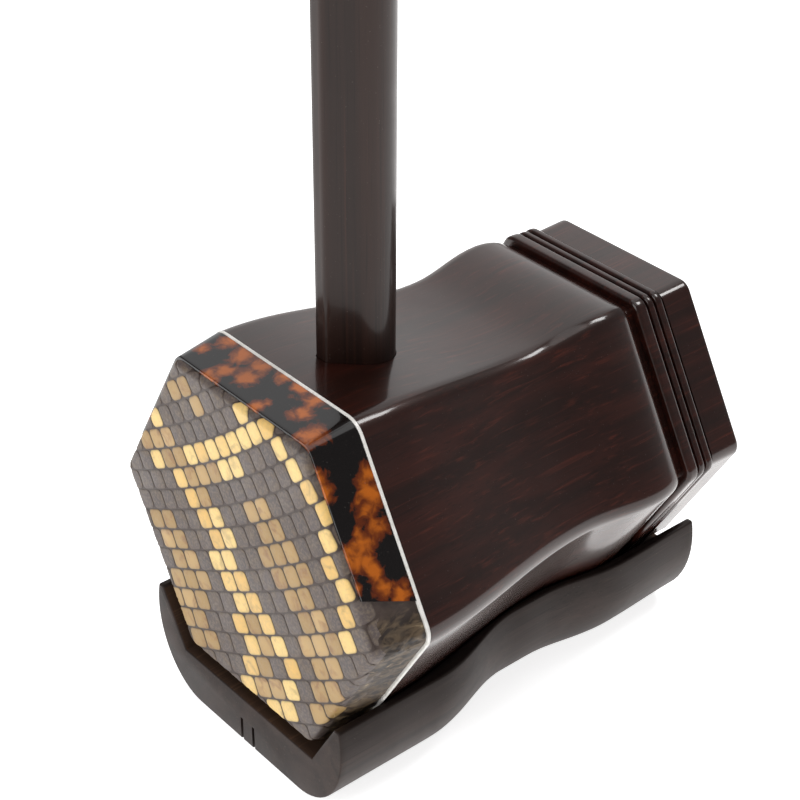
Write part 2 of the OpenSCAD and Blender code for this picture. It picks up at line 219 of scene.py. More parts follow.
def hexagon(half: float, radius: float, y: float, steps: int = 8) -> list[Vector]:
    """Draws a hexagon with rounded corners and a close pair of points beside each round.

    Args:
        half: Half the width across flats.
        radius: The corners' radius.
        y: Distance behind the skin.
        steps: Steps in each corner's round.

    Returns:
        The same number of points for every size, anticlockwise from the front.
    """
    beside = 0.8
    points: list[Vector] = []
    for turn in range(0, 360, 60):
        centre = polar((half - radius) / COS30, turn)
        round_part = arc(centre, radius, turn - 30, turn + 30, steps)
        points.append(round_part[0] - polar(beside, turn + 60))
        points.extend(round_part)
        points.append(round_part[-1] + polar(beside, turn + 120))
    return across(points, y)


class Loft:
    """A surface that is drawn through sections with the same number of points."""

    def __init__(self, section: Section) -> None:
        """Lays the first section.

        Args:
            section: Its points, in order round the section.
        """
        self.bm = bmesh.new()
        self.place = self.bm.verts.layers.int.new("place")
        verts = [self.bm.verts.new(point) for point in section]
        for number, vert in enumerate(verts):
            vert[self.place] = number
        self.start = [self.bm.edges.new(pair) for pair in zip(verts, verts[1:] + verts[:1])]
        self.ring = self.start
        self.opening = list(section)

    def extend(self, *sections: Section) -> Loft:
        """Extrudes the last section and sets it to each further one in turn.

        Args:
            *sections: Sections with the first one's number of points.

        Returns:
            The loft itself.
        """
        for section in sections:
            made = bmesh.ops.extrude_edge_only(self.bm, edges=self.ring)["geom"]
            for vert in (g for g in made if isinstance(g, BMVert)):
                vert.co = section[vert[self.place]]
            self.ring = [g for g in made if isinstance(g, BMEdge) and g.is_boundary]
        return self

    def close(self) -> BMesh:
        """Joins the last section to the first one, which makes a ring.

        Returns:
            A closed mesh.
        """
        self.extend(self.opening)
        bmesh.ops.remove_doubles(self.bm, verts=self.bm.verts, dist=1e-5)
        return self.bm

    def cap(self) -> BMesh:
        """Fills both ends.

        Returns:
            A closed mesh.
        """
        for ring in (self.start, self.ring):
            bmesh.ops.edgeloop_fill(self.bm, edges=ring)
        return self.bm

    def along(self, *places: int) -> list[BMEdge]:
        """Gives the edges that run along the loft from the named section points."""
        ends = [(e, {v[self.place] for v in e.verts}) for e in self.bm.edges]
        return [e for e, marks in ends if len(marks) == 1 and marks <= set(places)]


def soften(bm: BMesh, edges: Iterable[BMEdge], width: float, segments: int = 2) -> None:
    """Rounds edges.

    Args:
        bm: The mesh.
        edges: The edges to round.
        width: The round's width.
        segments: Steps across the round.
    """
    bmesh.ops.bevel(
        bm,
        geom=list(edges),
        offset=width,
        offset_type="OFFSET",
        segments=segments,
        profile=0.5,
        affect="EDGES",
        clamp_overlap=True,
        material=-1,
    )


def sharp_edges(bm: BMesh, least: float, where: Callable[[Vector], bool]) -> list[BMEdge]:
    """Finds the edges sharper than an angle whose middle passes a test.

    Args:
        bm: The mesh.
        least: The least angle between the two faces, in degrees.
        where: The test of the edge's middle.

    Returns:
        The edges.
    """
    bm.normal_update()
    limit = math.radians(least)
    pairs = [e for e in bm.edges if len(e.link_faces) == 2 and e.calc_face_angle(0.0) > limit]
    return [e for e in pairs if where((e.verts[0].co + e.verts[1].co) / 2)]


def drop_collapsed(bm: BMesh) -> BMesh:
    """Takes out the faces that a bevel or a cut has squeezed to nothing.

    Args:
        bm: The mesh.

    Returns:
        The same mesh.
    """
    bmesh.ops.remove_doubles(bm, verts=bm.verts, dist=2e-3)
    bmesh.ops.dissolve_degenerate(bm, dist=2e-3, edges=bm.edges)
    return bm


def drum(radius: float, length: float, centre: Vector, axis: str, sides: int = 48) -> BMesh:
    """Makes a plain round bar, as a cutter.

    Args:
        radius: Its radius.
        length: Its length.
        centre: Its middle.
        axis: X, Y or Z.
        sides: Sides of the round.

    Returns:
        A closed mesh.
    """
    turns = {"X": Matrix.Rotation(math.pi / 2, 4, "Y"), "Y": Matrix.Rotation(math.pi / 2, 4, "X")}
    bm = bmesh.new()
    bmesh.ops.create_cone(
        bm,
        cap_ends=True,
        segments=sides,
        radius1=radius,
        radius2=radius,
        depth=length,
        matrix=Matrix.Translation(centre) @ turns.get(axis, Matrix.Identity(4)),
    )
    return bm


def block(low: Vector, high: Vector) -> BMesh:
    """Makes a plain block between two corners, as a cutter.

    Args:
        low: The lowest corner.
        high: The highest corner.

    Returns:
        A closed mesh.
    """
    bm = bmesh.new()
    size = high - low
    bmesh.ops.create_cube(bm, size=1.0)
    bmesh.ops.scale(bm, vec=size, verts=bm.verts)
    bmesh.ops.translate(bm, vec=(low + high) / 2, verts=bm.verts)
    return bm


def cut(bm: BMesh, *cutters: BMesh) -> BMesh:
    """Takes cutters away from a closed mesh.

    Args:
        bm: The mesh to cut, which is used up.
        *cutters: Closed meshes to take away, one after the other, which are used up.

    Returns:
        The cut mesh.
    """
    bmesh.ops.recalc_face_normals(bm, faces=bm.faces)
    body = bpy.data.objects.new("cut_body", bpy.data.meshes.new("cut_body"))
    bm.to_mesh(body.data)
    bm.free()
    tools = [body]
    bpy.context.scene.collection.objects.link(body)
    for cutter in cutters:
        bmesh.ops.recalc_face_normals(cutter, faces=cutter.faces)
        tool = bpy.data.objects.new("cut_tool", bpy.data.meshes.new("cut_tool"))
        cutter.to_mesh(tool.data)
        cutter.free()
        bpy.context.scene.collection.objects.link(tool)
        tools.append(tool)
        modifier = body.modifiers.new("cut", "BOOLEAN")
        modifier.operation = "DIFFERENCE"
        modifier.solver = "EXACT"
        modifier.object = tool
    bpy.context.view_layer.update()
    shaped = body.evaluated_get(bpy.context.evaluated_depsgraph_get())
    result = bmesh.new()
    result.from_mesh(shaped.to_mesh())
    shaped.to_mesh_clear()
    for tool in tools:
        bpy.data.meshes.remove(tool.data)
    return result


# --- Shader building -------------------------------------------------------------------------


class Graph:
    """Adds nodes to one node tree and joins them."""

    def __init__(self, tree: NodeTree) -> None:
        """Keeps the tree to work in."""
        self.tree = tree

    def node(self, kind: str, inputs: dict[str | int, object], **settings: object) -> Node:
        """Adds a node.

        Args:
            kind: The node's type.
            inputs: Sockets to join or values to set, by the input's name or number.
            **settings: The node's own settings.

        Returns:
            The node.
        """
        made = self.tree.nodes.new(kind)
        for name, value in settings.items():
            setattr(made, name, value)
        for name, value in inputs.items():
            if isinstance(value, NodeSocket):
                self.tree.links.new(value, made.inputs[name])
            else:
                made.inputs[name].default_value = value
        return made

    def place(self, scale: Sequence[float], shift: Sequence[float] = (0, 0, 0)) -> NodeSocket:
        """Gives the object's own coordinates, scaled per metre and shifted.

        Args:
            scale: The scale per metre along each axis.
            shift: The shift after scaling.

        Returns:
            The coordinates.
        """
        own = self.node("ShaderNodeTexCoord", {}).outputs["Object"]
        mapped = self.node("ShaderNodeMapping", {"Vector": own, "Scale": scale, "Location": shift})
        return mapped.outputs["Vector"]

    def noise(
        self, vector: NodeSocket, scale: object, detail: float = 4.0, distortion: float = 0.0
    ) -> NodeSocket:
        """Gives soft noise from 0 to 1 with a mean of about one half."""
        inputs = {"Vector": vector, "Scale": scale, "Detail": detail, "Distortion": distortion}
        return self.node("ShaderNodeTexNoise", inputs).outputs["Fac"]

    def span(
        self, value: NodeSocket, low: float, high: float, start: float = 0.0, end: float = 1.0
    ) -> NodeSocket:
        """Eases a value's stretch from low to high onto the stretch from start to end.

        Args:
            value: The value.
            low: Where its stretch starts.
            high: Where its stretch ends.
            start: What low becomes.
            end: What high becomes.

        Returns:
            The eased value.
        """
        inputs = {"Value": value, "From Min": low, "From Max": high, "To Min": start, "To Max": end}
        kind = "ShaderNodeMapRange"
        return self.node(kind, inputs, interpolation_type="SMOOTHSTEP").outputs["Result"]

    def math(self, operation: str, a: object, b: object = 0.0) -> NodeSocket:
        """Works out one operation on two values."""
        return self.node("ShaderNodeMath", {0: a, 1: b}, operation=operation).outputs["Value"]

    def blend(self, share: object, a: object, b: object) -> NodeSocket:
        """Blends colour b over colour a by a share."""
        inputs = {MIX_SHARE: share, MIX_A: a, MIX_B: b}
        return self.node("ShaderNodeMix", inputs, data_type="RGBA").outputs[MIX_RESULT]

    def mark(self, name: str) -> NodeSocket:
        """Reads a value that is stored on the mesh."""
        return self.node("ShaderNodeAttribute", {}, attribute_name=name).outputs["Fac"]

    def bump(self, height: NodeSocket, strength: float, depth: float) -> NodeSocket:
        """Turns a height into a surface normal; depth is in metres."""
        inputs = {"Height": height, "Strength": strength, "Distance": depth}
        return self.node("ShaderNodeBump", inputs).outputs["Normal"]


def new_group(
    name: str, inputs: dict[str, str], outputs: Sequence[str]
) -> tuple[Graph, Node, Node]:
    """Starts a shader group.

    Args:
        name: The group's name.
        inputs: Each input's name and socket type.
        outputs: The names of its outputs, which are all values.

    Returns:
        The group's graph, its input node and its output node.
    """
    tree = bpy.data.node_groups.new(name, "ShaderNodeTree")
    for label, kind in inputs.items():
        tree.interface.new_socket(name=label, in_out="INPUT", socket_type=kind)
    for label in outputs:
        tree.interface.new_socket(name=label, in_out="OUTPUT", socket_type="NodeSocketFloat")
    graph = Graph(tree)
    return graph, graph.node("NodeGroupInput", {}), graph.node("NodeGroupOutput", {})


def wood_grain_group() -> NodeTree:
    """Builds the grain that every wooden piece shares.

    Returns:
        A group that takes a vector drawn out along the grain, and gives the broad bands,
        the fine streaks and the pores, each from 0 to 1.
    """
    graph, taken, given = new_group(
        "wood_grain", {"Vector": "NodeSocketVector"}, ("Bands", "Streaks", "Pores")
    )
    vector = taken.outputs["Vector"]
    bands = graph.span(graph.noise(vector, 0.2, 3.0, 0.5), 0.36, 0.68)
    streaks = graph.span(graph.noise(vector, 1.7, 5.0, 0.35), 0.52, 0.82)
    pores = graph.span(graph.noise(vector, 4.0, 3.0, 0.2), 0.56, 0.70)
    for label, value in (("Bands", bands), ("Streaks", streaks), ("Pores", pores)):
        graph.tree.links.new(value, given.inputs[label])
    return graph.tree


def handling_group() -> NodeTree:
    """Builds the faint cloudiness and dust that hands and air leave on every finish.

    Returns:
        A group that takes a vector in metres, and gives cloud and dust from 0 to 1.
    """
    graph, taken, given = new_group(
        "handling", {"Vector": "NodeSocketVector"}, ("Cloud", "Dust")
    )
    vector = taken.outputs["Vector"]
    cloud = graph.span(graph.noise(vector, 55.0, 4.0, 0.6), 0.35, 0.68)
    dust = graph.span(graph.noise(vector, 2400.0, 1.0), 0.73, 0.80)
    for label, value in (("Cloud", cloud), ("Dust", dust)):
        graph.tree.links.new(value, given.inputs[label])
    return graph.tree


@dataclass(frozen=True)
class Effects:
    """The shader groups that finishes share."""

    grain: NodeTree
    handling: NodeTree

    @classmethod
    def build(cls) -> Effects:
        """Builds each group once."""
        return cls(grain=wood_grain_group(), handling=handling_group())


@dataclass(frozen=True)
class Finish:
    """What every finish has: its name, the record's slot and its shared effects."""

    name: str
    slot: str

    def start(self, effects: Effects) -> tuple[Graph, Node, NodeSocket, NodeSocket]:
        """Starts the material.

        Args:
            effects: The shared groups.

        Returns:
            The material's graph, its shader, and the cloud and dust masks.
        """
        material = bpy.data.materials.new(self.name)
        material.use_nodes = True
        graph = Graph(material.node_tree)
        shader = next(n for n in graph.tree.nodes if n.type == "BSDF_PRINCIPLED")
        handling = graph.node("ShaderNodeGroup", {}, node_tree=effects.handling)
        graph.tree.links.new(graph.place((1, 1, 1)), handling.inputs["Vector"])
        return graph, shader, handling.outputs["Cloud"], handling.outputs["Dust"]

    def join(self, graph: Graph, shader: Node, **sockets: NodeSocket) -> Material:
        """Joins colour, roughness and normal to the shader.

        Args:
            graph: The material's graph.
            shader: Its shader.
            **sockets: What feeds each input, with _ for a space in the input's name.

        Returns:
            The material.
        """
        for label, socket in sockets.items():
            graph.tree.links.new(socket, shader.inputs[label.replace("_", " ")])
        return bpy.data.materials[self.name]


class Grain(Enum):
    """The way the grain runs, as the pattern's scale per metre along X, Y and Z."""

    ALONG_BOX = (620.0, 8.0, 620.0)
    UP_NECK = (620.0, 620.0, 7.0)


@dataclass(frozen=True)
class Lacquer(Finish):
    """Polished wood under lacquer."""

    deep: str
    warm: str
    streak: str
    grain: Grain
    roughness: float
    coat_roughness: float
    coat: float = 1.0
    bare: str = "3a2a20"

    def build(self, effects: Effects) -> Material:
        """Builds the material.

        Args:
            effects: The shared groups.

        Returns:
            The material.
        """
        graph, shader, cloud, dust = self.start(effects)
        grain = graph.node("ShaderNodeGroup", {}, node_tree=effects.grain)
        graph.tree.links.new(graph.place(self.grain.value, (3.1, 1.7, 5.3)), grain.inputs["Vector"])
        bands, streaks, pores = (grain.outputs[k] for k in ("Bands", "Streaks", "Pores"))
        ground = graph.blend(bands, paint(self.deep), paint(self.warm))
        veined = graph.blend(graph.math("MULTIPLY", streaks, 0.6), ground, paint(self.streak))
        pored = graph.blend(graph.math("MULTIPLY", pores, 0.5), veined, paint("0c0605"))
        bare = graph.mark("bare")
        raw = graph.blend(streaks, paint(self.bare), paint("57402f"))
        colour = graph.blend(bare, pored, raw)
        gloss = graph.span(cloud, 0.0, 1.0, self.roughness, self.roughness + 0.07)
        rough = graph.math("ADD", gloss, graph.math("MULTIPLY", bare, 0.3))
        shader.inputs["IOR"].default_value = 1.45
        shader.inputs["Specular IOR Level"].default_value = 0.2
        shader.inputs["Coat Roughness"].default_value = self.coat_roughness
        shader.inputs["Coat IOR"].default_value = 1.42
        shader.inputs["Coat Tint"].default_value = (1.0, 0.93, 0.9, 1.0)
        shader.inputs["Specular Tint"].default_value = (1.0, 0.9, 0.86, 1.0)
        height = graph.math("SUBTRACT", graph.math("MULTIPLY", streaks, 0.4), pores)
        return self.join(
            graph,
            shader,
            Base_Color=graph.blend(graph.math("MULTIPLY", dust, 0.12), colour, paint("a09890")),
            Roughness=rough,
            Coat_Weight=graph.math("MULTIPLY", graph.math("SUBTRACT", 1.0, bare), self.coat),
            Normal=graph.bump(height, 0.12, 0.00003),
        )


@dataclass(frozen=True)
class Tortoiseshell(Finish):
    """Polished shell with amber clouds; the mesh stores where the amber lies."""

    def build(self, effects: Effects) -> Material:
        """Builds the material.

        Args:
            effects: The shared groups.

        Returns:
            The material.
        """
        graph, shader, cloud, dust = self.start(effects)
        fine = graph.noise(graph.place((1, 1, 1)), 380.0, 3.5, 0.6)
        coarse = graph.noise(graph.place((1, 1, 1), (0.3, 0.1, 0.7)), 150.0, 3.0, 0.5)
        shares = (graph.math("MULTIPLY", fine, 0.9), graph.math("MULTIPLY", coarse, 0.6))
        lean = graph.math("ADD", *shares)
        level = graph.math("ADD", graph.mark("amber"), graph.math("SUBTRACT", lean, 0.75))
        amber = graph.span(level, 0.42, 0.56)
        hot = graph.span(level, 0.54, 0.95)
        tint = graph.blend(hot, paint("582205"), paint("b25c12"))
        colour = graph.blend(amber, paint("0d0807"), tint)
        shader.inputs["IOR"].default_value = 1.45
        shader.inputs["Specular IOR Level"].default_value = 0.2
        shader.inputs["Coat Weight"].default_value = 1.0
        shader.inputs["Coat Roughness"].default_value = 0.05
        shader.inputs["Coat IOR"].default_value = 1.4
        return self.join(
            graph,
            shader,
            Base_Color=graph.blend(graph.math("MULTIPLY", dust, 0.1), colour, paint("a8a09a")),
            Roughness=graph.span(cloud, 0.0, 1.0, 0.16, 0.26),
            Normal=graph.bump(fine, 0.08, 0.00004),
        )


@dataclass(frozen=True)
class SnakeSkin(Finish):
    """Python skin; the mesh stores each scale's marking and how high a point rises on it, which
    paints shade on the scales' slopes and in the creases between them.
    """

    def build(self, effects: Effects) -> Material:
        """Builds the material.

        Args:
            effects: The shared groups.

        Returns:
            The material.
        """
        graph, shader, cloud, _ = self.start(effects)
        own = graph.place((1, 1, 1))
        mottle = graph.noise(own, 260.0, 5.0, 0.6)
        grit = graph.noise(own, 1500.0, 3.0, 0.2)
        lot = graph.mark("lot")
        dark = graph.blend(lot, paint("4c4343"), paint("5a504f"))
        field_tone = graph.blend(graph.span(mottle, 0.35, 0.7), dark, paint("584c45"))
        tan = graph.blend(lot, paint("a0814f"), paint("c2a06a"))
        tan = graph.blend(graph.span(mottle, 0.48, 0.7, 0.0, 0.5), tan, paint("9c6538"))
        gold = graph.blend(lot, paint("deb263"), paint("f2d188"))
        marked = graph.blend(graph.mark("tan"), field_tone, tan)
        marked = graph.blend(graph.mark("gold"), marked, gold)
        stain = graph.blend(graph.span(mottle, 0.5, 0.75, 0.0, 0.45), marked, paint("6d5a46"))
        top = graph.blend(graph.span(grit, 0.4, 0.7, 0.0, 0.2), stain, paint("a8977c"))
        # Painted shade: the stored height darkens each scale's slopes towards its feet and keeps
        # its crown lightest.
        rise = graph.mark("rise")
        slope_painted_shade = graph.blend(graph.span(rise, 0.6, 1.02, 0.5, 1.0), paint("49392a"), top)
        # The crease colour at the scales' feet is partly the skin's own darker fold between scales
        # and partly painted shade.
        crease = graph.blend(graph.span(mottle, 0.3, 0.7), paint("3a2e29"), paint("4a3d37"))
        scaled = graph.blend(graph.span(rise, 0.2, 0.8), crease, slope_painted_shade)
        drawn = graph.noise(graph.place((900, 260, 420)), 0.6, 5.0, 1.5)
        turned = graph.blend(graph.span(drawn, 0.4, 0.6), paint("241a14"), paint("5a4a37"))
        turned = graph.blend(graph.span(drawn, 0.59, 0.78), turned, paint("b8a380"))
        shader.inputs["IOR"].default_value = 1.46
        reliefs = (graph.math("MULTIPLY", grit, 0.5), graph.math("MULTIPLY", drawn, 0.7))
        height = graph.math("ADD", *reliefs)
        return self.join(
            graph,
            shader,
            Base_Color=graph.blend(graph.mark("turned"), scaled, turned),
            Roughness=graph.span(cloud, 0.0, 1.0, 0.42, 0.55),
            Normal=graph.bump(height, 0.35, 0.00012),
        )


@dataclass(frozen=True)
class Polished(Finish):
    """A smooth solid colour that clouds a little, such as celluloid or bone."""

    light: str
    shade: str
    roughness: float
    fibre: Grain = Grain.ALONG_BOX

    def build(self, effects: Effects) -> Material:
        """Builds the material.

        Args:
            effects: The shared groups.

        Returns:
            The material.
        """
        graph, shader, cloud, dust = self.start(effects)
        fibres = graph.noise(graph.place(self.fibre.value), 1.0, 4.0, 0.4)
        tone = graph.math("MULTIPLY", graph.span(fibres, 0.35, 0.7), 0.8)
        colour = graph.blend(tone, paint(self.light), paint(self.shade))
        shader.inputs["IOR"].default_value = 1.5
        return self.join(
            graph,
            shader,
            Base_Color=graph.blend(graph.math("MULTIPLY", dust, 0.3), colour, paint("8f877a")),
            Roughness=graph.span(cloud, 0.0, 1.0, self.roughness, self.roughness + 0.1),
            Normal=graph.bump(fibres, 0.05, 0.00003),
        )


@dataclass(frozen=True)
class Metal(Finish):
    """Turned or brushed metal, a little tarnished."""

    light: str
    tarnish: str
    roughness: float

    def build(self, effects: Effects) -> Material:
        """Builds the material.

        Args:
            effects: The shared groups.

        Returns:
            The material.
        """
        graph, shader, cloud, dust = self.start(effects)
        lines = graph.noise(graph.place((300, 300, 6000)), 1.0, 2.0)
        shader.inputs["Metallic"].default_value = 1.0
        dulled = graph.math("MULTIPLY", cloud, 0.6)
        worn = graph.blend(dulled, paint(self.light), paint(self.tarnish))
        return self.join(
            graph,
            shader,
            Base_Color=graph.blend(graph.math("MULTIPLY", dust, 0.2), worn, paint("6a6258")),
            Roughness=graph.span(lines, 0.3, 0.7, self.roughness, self.roughness + 0.15),
            Normal=graph.bump(lines, 0.1, 0.00002),
        )


# --- The bench -------------------------------------------------------------------------------


@dataclass
class Bench:
    """Where pieces are finished and set into the frame."""

    effects: Effects
    skin_y: float
    axis_z: float
    made: dict[str, Material] = field(default_factory=dict)

    @classmethod
    def from_frame(cls) -> Bench:
        """Reads the sound box's place from the frame."""
        low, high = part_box("white_line")
        return cls(Effects.build(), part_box("skin_head")[0].y, (low.z + high.z) / 2)

    @property
    def matrix(self) -> Matrix:
        """The move from the sound box's millimetres to the frame's metres."""
        return Matrix.Translation((0, self.skin_y, self.axis_z)) @ Matrix.Scale(MM, 4)

    def local(self, point: Vector) -> Vector:
        """Gives a frame point in the sound box's millimetres."""
        return self.matrix.inverted() @ point

    def material(self, finish: Finish) -> Material:
        """Builds a finish once and gives its material.

        Args:
            finish: The finish.

        Returns:
            The material.
        """
        if finish.name not in self.made:
            self.made[finish.name] = finish.build(self.effects)
        return self.made[finish.name]

    def set_piece(
        self,
        bm: BMesh,
        name: str,
        finish: Finish,
        nodes: Sequence[str],
        body: str = "body",
        crease: float = 32.0,
    ) -> Object:
        """Turns a mesh into a finished piece that stands for its CAD nodes.

        Args:
            bm: The piece's mesh, which is used up.
            name: The piece's name.
            finish: Its finish.
            nodes: The CAD nodes it replaces.
            body: The body it rides on.
            crease: Edges sharper than this, in degrees, stay crisp.

        Returns:
            The piece.
        """
        bmesh.ops.recalc_face_normals(bm, faces=bm.faces)
        bm.transform(self.matrix)
        mesh = bpy.data.meshes.new(name)
        bm.to_mesh(mesh)
        bm.free()
        mesh.materials.append(self.material(finish))
        mesh.shade_smooth()
        mesh.set_sharp_from_angle(angle=math.radians(crease))
        piece = bpy.data.objects.new(name, mesh)
        bpy.context.scene.collection.objects.link(piece)
        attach(piece, body)
        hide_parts(*nodes)
        log.info("%s: %d faces", name, len(mesh.polygons))
        return piece

    def refine_node(
        self, node: str, name: str, finish: Finish, width: float, body: str = "body"
    ) -> Object:
        """Makes a finished piece from a copy of a CAD node, with its edges rounded.

        Args:
            node: The CAD node.
            name: The piece's name.
            finish: Its finish.
            width: The width of the rounded edges, in mm.
            body: The body it rides on.

        Returns:
            The piece.
        """
        source: Mesh = bpy.data.objects[node].data
        bm = bmesh.new()
        bm.from_mesh(source)
        bm.transform(self.matrix.inverted())
        bmesh.ops.remove_doubles(bm, verts=bm.verts, dist=1e-3)
        bmesh.ops.dissolve_limit(bm, angle_limit=math.radians(0.5), verts=bm.verts, edges=bm.edges)
        soften(bm, sharp_edges(bm, 40.0, lambda middle: True), width)
        return self.set_piece(drop_collapsed(bm), name, finish, [node], body)


# --- Finishes of this instrument -------------------------------------------------------------

ROSEWOOD = Lacquer(
    name="rosewood_lacquer",
    slot="rosewood",
    deep="1d0c08",
    warm="30140e",
    streak="56261a",
    grain=Grain.ALONG_BOX,
    roughness=0.34,
    coat_roughness=0.11,
)
CRADLE_WOOD = Lacquer(
    name="cradle_lacquer",
    slot="dark_wood",
    deep="241c19",
    warm="342925",
    streak="44342c",
    grain=Grain.ALONG_BOX,
    roughness=0.45,
    coat_roughness=0.26,
    coat=0.08,
)
NECK_WOOD = Lacquer(
    name="neck_lacquer",
    slot="dark_wood",
    deep="1c110e",
    warm="2a1a15",
    streak="3a2119",
    grain=Grain.UP_NECK,
    roughness=0.38,
    coat_roughness=0.13,
    coat=0.5,
)
PEG_WOOD = Lacquer(
    name="peg_lacquer",
    slot="dark_wood",
    deep="1a1210",
    warm="2a1b17",
    streak="43291f",
    grain=Grain.ALONG_BOX,
    roughness=0.3,
    coat_roughness=0.1,
)
SHELL = Tortoiseshell("tortoiseshell_sheet", "tortoiseshell")
PYTHON = SnakeSkin("python_skin_leather", "python_skin")
CELLULOID = Polished("white_celluloid_line", "white_celluloid", "eeebe6", "dcd8d0", 0.25)
BONE = Polished("carved_bone", "bone", "efe6d0", "d6c7a4", 0.3, Grain.UP_NECK)
BRASS = Metal("aged_brass", "brass", "d9b36a", "8c6a34", 0.28)
STEEL = Metal("plain_steel", "steel", "b8b9ba", "77736e", 0.32)


# --- Sub-assemblies --------------------------------------------------------------------------


@dataclass
class SoundBox:
    """Six staves, the ridged collar, the rear frame and the lattice window."""

    shape: BoxShape
    neck: NeckStick
    collar_len: float = 12.1
    collar_half: float = 39.4
    frame_half: float = 38.2
    window_half: float = 28.5
    round_steps: int = 6
    long_steps: int = 30
    seam: float = 0.14
    neck_gap: float = 0.15
    neck_reach: float = 60.0

    STAVES = {
        Side.TOP: ("stave_top", "top_stave"),
        Side.UPPER_RIGHT: ("stave_upper_right", "upper_right_stave"),
        Side.LOWER_RIGHT: ("stave_lower_right", "lower_right_stave"),
        Side.BOTTOM: ("stave_bottom", "bottom_stave"),
        Side.LOWER_LEFT: ("stave_lower_left", "lower_left_stave"),
        Side.UPPER_LEFT: ("stave_upper_left", "upper_left_stave"),
    }

    def stave_section(self, turn: float, y: float, half: float, radius: float) -> list[Vector]:
        """Draws a stave across: two half rounds outside and a flat inside.

        Args:
            turn: The angle that the stave's face looks along.
            y: Distance behind the skin.
            half: The face's distance from the box's axis.
            radius: The corners' radius.

        Returns:
            The section's points.
        """
        beside = polar(0.8, turn + 90)
        reach = (half - radius) / COS30
        right = arc(polar(reach, turn - 30), radius, turn - 30, turn, self.round_steps)
        left = arc(polar(reach, turn + 30), radius, turn, turn + 30, self.round_steps)
        inner = (self.shape.half(max(y, self.shape.line_end)) - self.shape.wall) / COS30
        ends = [polar(inner, turn + 30), polar(inner, turn - 30)]
        return across(right + [right[-1] + beside, left[0] - beside] + left + ends, y)

    def stave(self, side: Side) -> BMesh:
        """Builds one stave from its end under the skin to the rounded shoulder.

        Args:
            side: The side of the box that the stave makes.

        Returns:
            The stave's mesh.
        """
        shape, turn = self.shape, side.value
        covered = [
            self.stave_section(turn, y, w, w - shape.core)
            for y in (shape.skin, shape.line_end)
            for w in (shape.skin_half(y) - shape.skin,)
        ]
        open_y = spread(shape.line_end, shape.swell_y, self.long_steps)
        rounding = [math.sin(math.radians(t)) for t in range(9, 91, 9)]
        open_y += [shape.swell_y + shape.shoulder_len * share for share in rounding]
        shown = [self.stave_section(turn, y, shape.half(y), shape.corner(y)) for y in open_y]
        loft = Loft(covered[0]).extend(covered[1], *shown)
        bm = loft.cap()
        last_outer = 2 * (self.round_steps + 1) + 1
        soften(bm, loft.along(0, last_outer), self.seam)
        if side is Side.TOP:
            bm = cut(bm, self.neck.bar(0, self.neck_reach, self.neck_gap))
        elif side is Side.BOTTOM:
            bm = cut(bm, self.neck.bar(-self.neck_reach, 0, self.neck_gap))
        return drop_collapsed(bm)

    def ring_of(self, outline: Sequence[tuple[float, float]], core: float, bore: float) -> BMesh:
        """Builds a moulding round the box with a six-sided opening.

        Args:
            outline: How far each point stands outside the core hexagon, and its y.
            core: Half width of the core hexagon.
            bore: Half width of the opening.

        Returns:
            A closed mesh.
        """
        start, end = outline[0][1], outline[-1][1]
        edge = 0.7
        rings = [hexagon(core + out, out, y) for out, y in outline]
        inside = [
            (bore + edge, end),
            (bore, end - edge),
            (bore, start + edge),
            (bore + edge, start),
        ]
        rings += [hexagon(half, 1.0, y) for half, y in inside]
        return Loft(rings[0]).extend(*rings[1:]).close()

    @staticmethod
    def ridge(y: float, width: float, height: float, radius: float) -> list[tuple[float, float]]:
        """Draws one ridge with round shoulders, standing on the collar's floor.

        Args:
            y: Where the ridge starts.
            width: Its width along the box.
            height: How far it stands outside the core hexagon.
            radius: The radius of its shoulders.

        Returns:
            How far each point stands outside the core hexagon, and its y.
        """
        front = Vector((height - radius, y + radius))
        back = Vector((height - radius, y + width - radius))
        points = [front + polar(radius, t) for t in range(-90, 1, 18)]
        points += [back + polar(radius, t) for t in range(0, 91, 18)]
        return [(p.x, p.y) for p in points]

    def collar(self) -> BMesh:
        """Builds the collar with one broad ridge and two narrow ones.

        Returns:
            The collar's mesh.
        """
        corner = self.shape.rear_corner
        floor, start = corner - 2.4, self.shape.end
        ridges = (
            (1.9, 3.7, corner, 1.1),
            (6.2, 2.0, corner - 0.3, 0.8),
            (8.8, 2.2, corner - 0.3, 0.8),
        )
        outline = [(floor, start)]
        for y, width, height, radius in ridges:
            outline.append((floor, start + y))
            outline += self.ridge(start + y, width, height, radius)
            outline.append((floor, start + y + width))
        outline.append((floor, start + self.collar_len))
        bore = self.shape.half(start) - self.shape.wall
        return self.ring_of(outline, self.collar_half - corner, bore)

    def rear_frame(self) -> BMesh:
        """Builds the frame that closes the box at the rear.

        Returns:
            The frame's mesh.
        """
        corner, edge = self.shape.rear_corner, 0.8
        start, end = self.shape.end + self.collar_len, self.shape.length
        outline = [
            (corner - 0.3, start),
            (corner - 0.28, start + 0.4),
            (corner - 0.02, end - edge - 0.6),
        ]
        centre = Vector((corner - edge, end - edge))
        outline += [tuple(centre + polar(edge, t)) for t in range(0, 91, 15)]
        return self.ring_of(outline, self.frame_half - corner, self.window_half)

    def build(self, bench: Bench) -> None:
        """Builds every piece of the box.

        Args:
            bench: The bench that the pieces are finished on.
        """
        for side, (node, name) in self.STAVES.items():
            bench.set_piece(self.stave(side), name, ROSEWOOD, [node])
        bench.set_piece(self.collar(), "ridged_collar", ROSEWOOD, ["rear_collar"])
        bench.set_piece(self.rear_frame(), "rear_ring", ROSEWOOD, ["rear_frame"])
        bench.refine_node("sound_window", "lattice_window", CRADLE_WOOD, 0.35)


class Tone(Enum):
    """What a scale of the skin is coloured like."""

    GOLD = "gold"
    TAN = "tan"


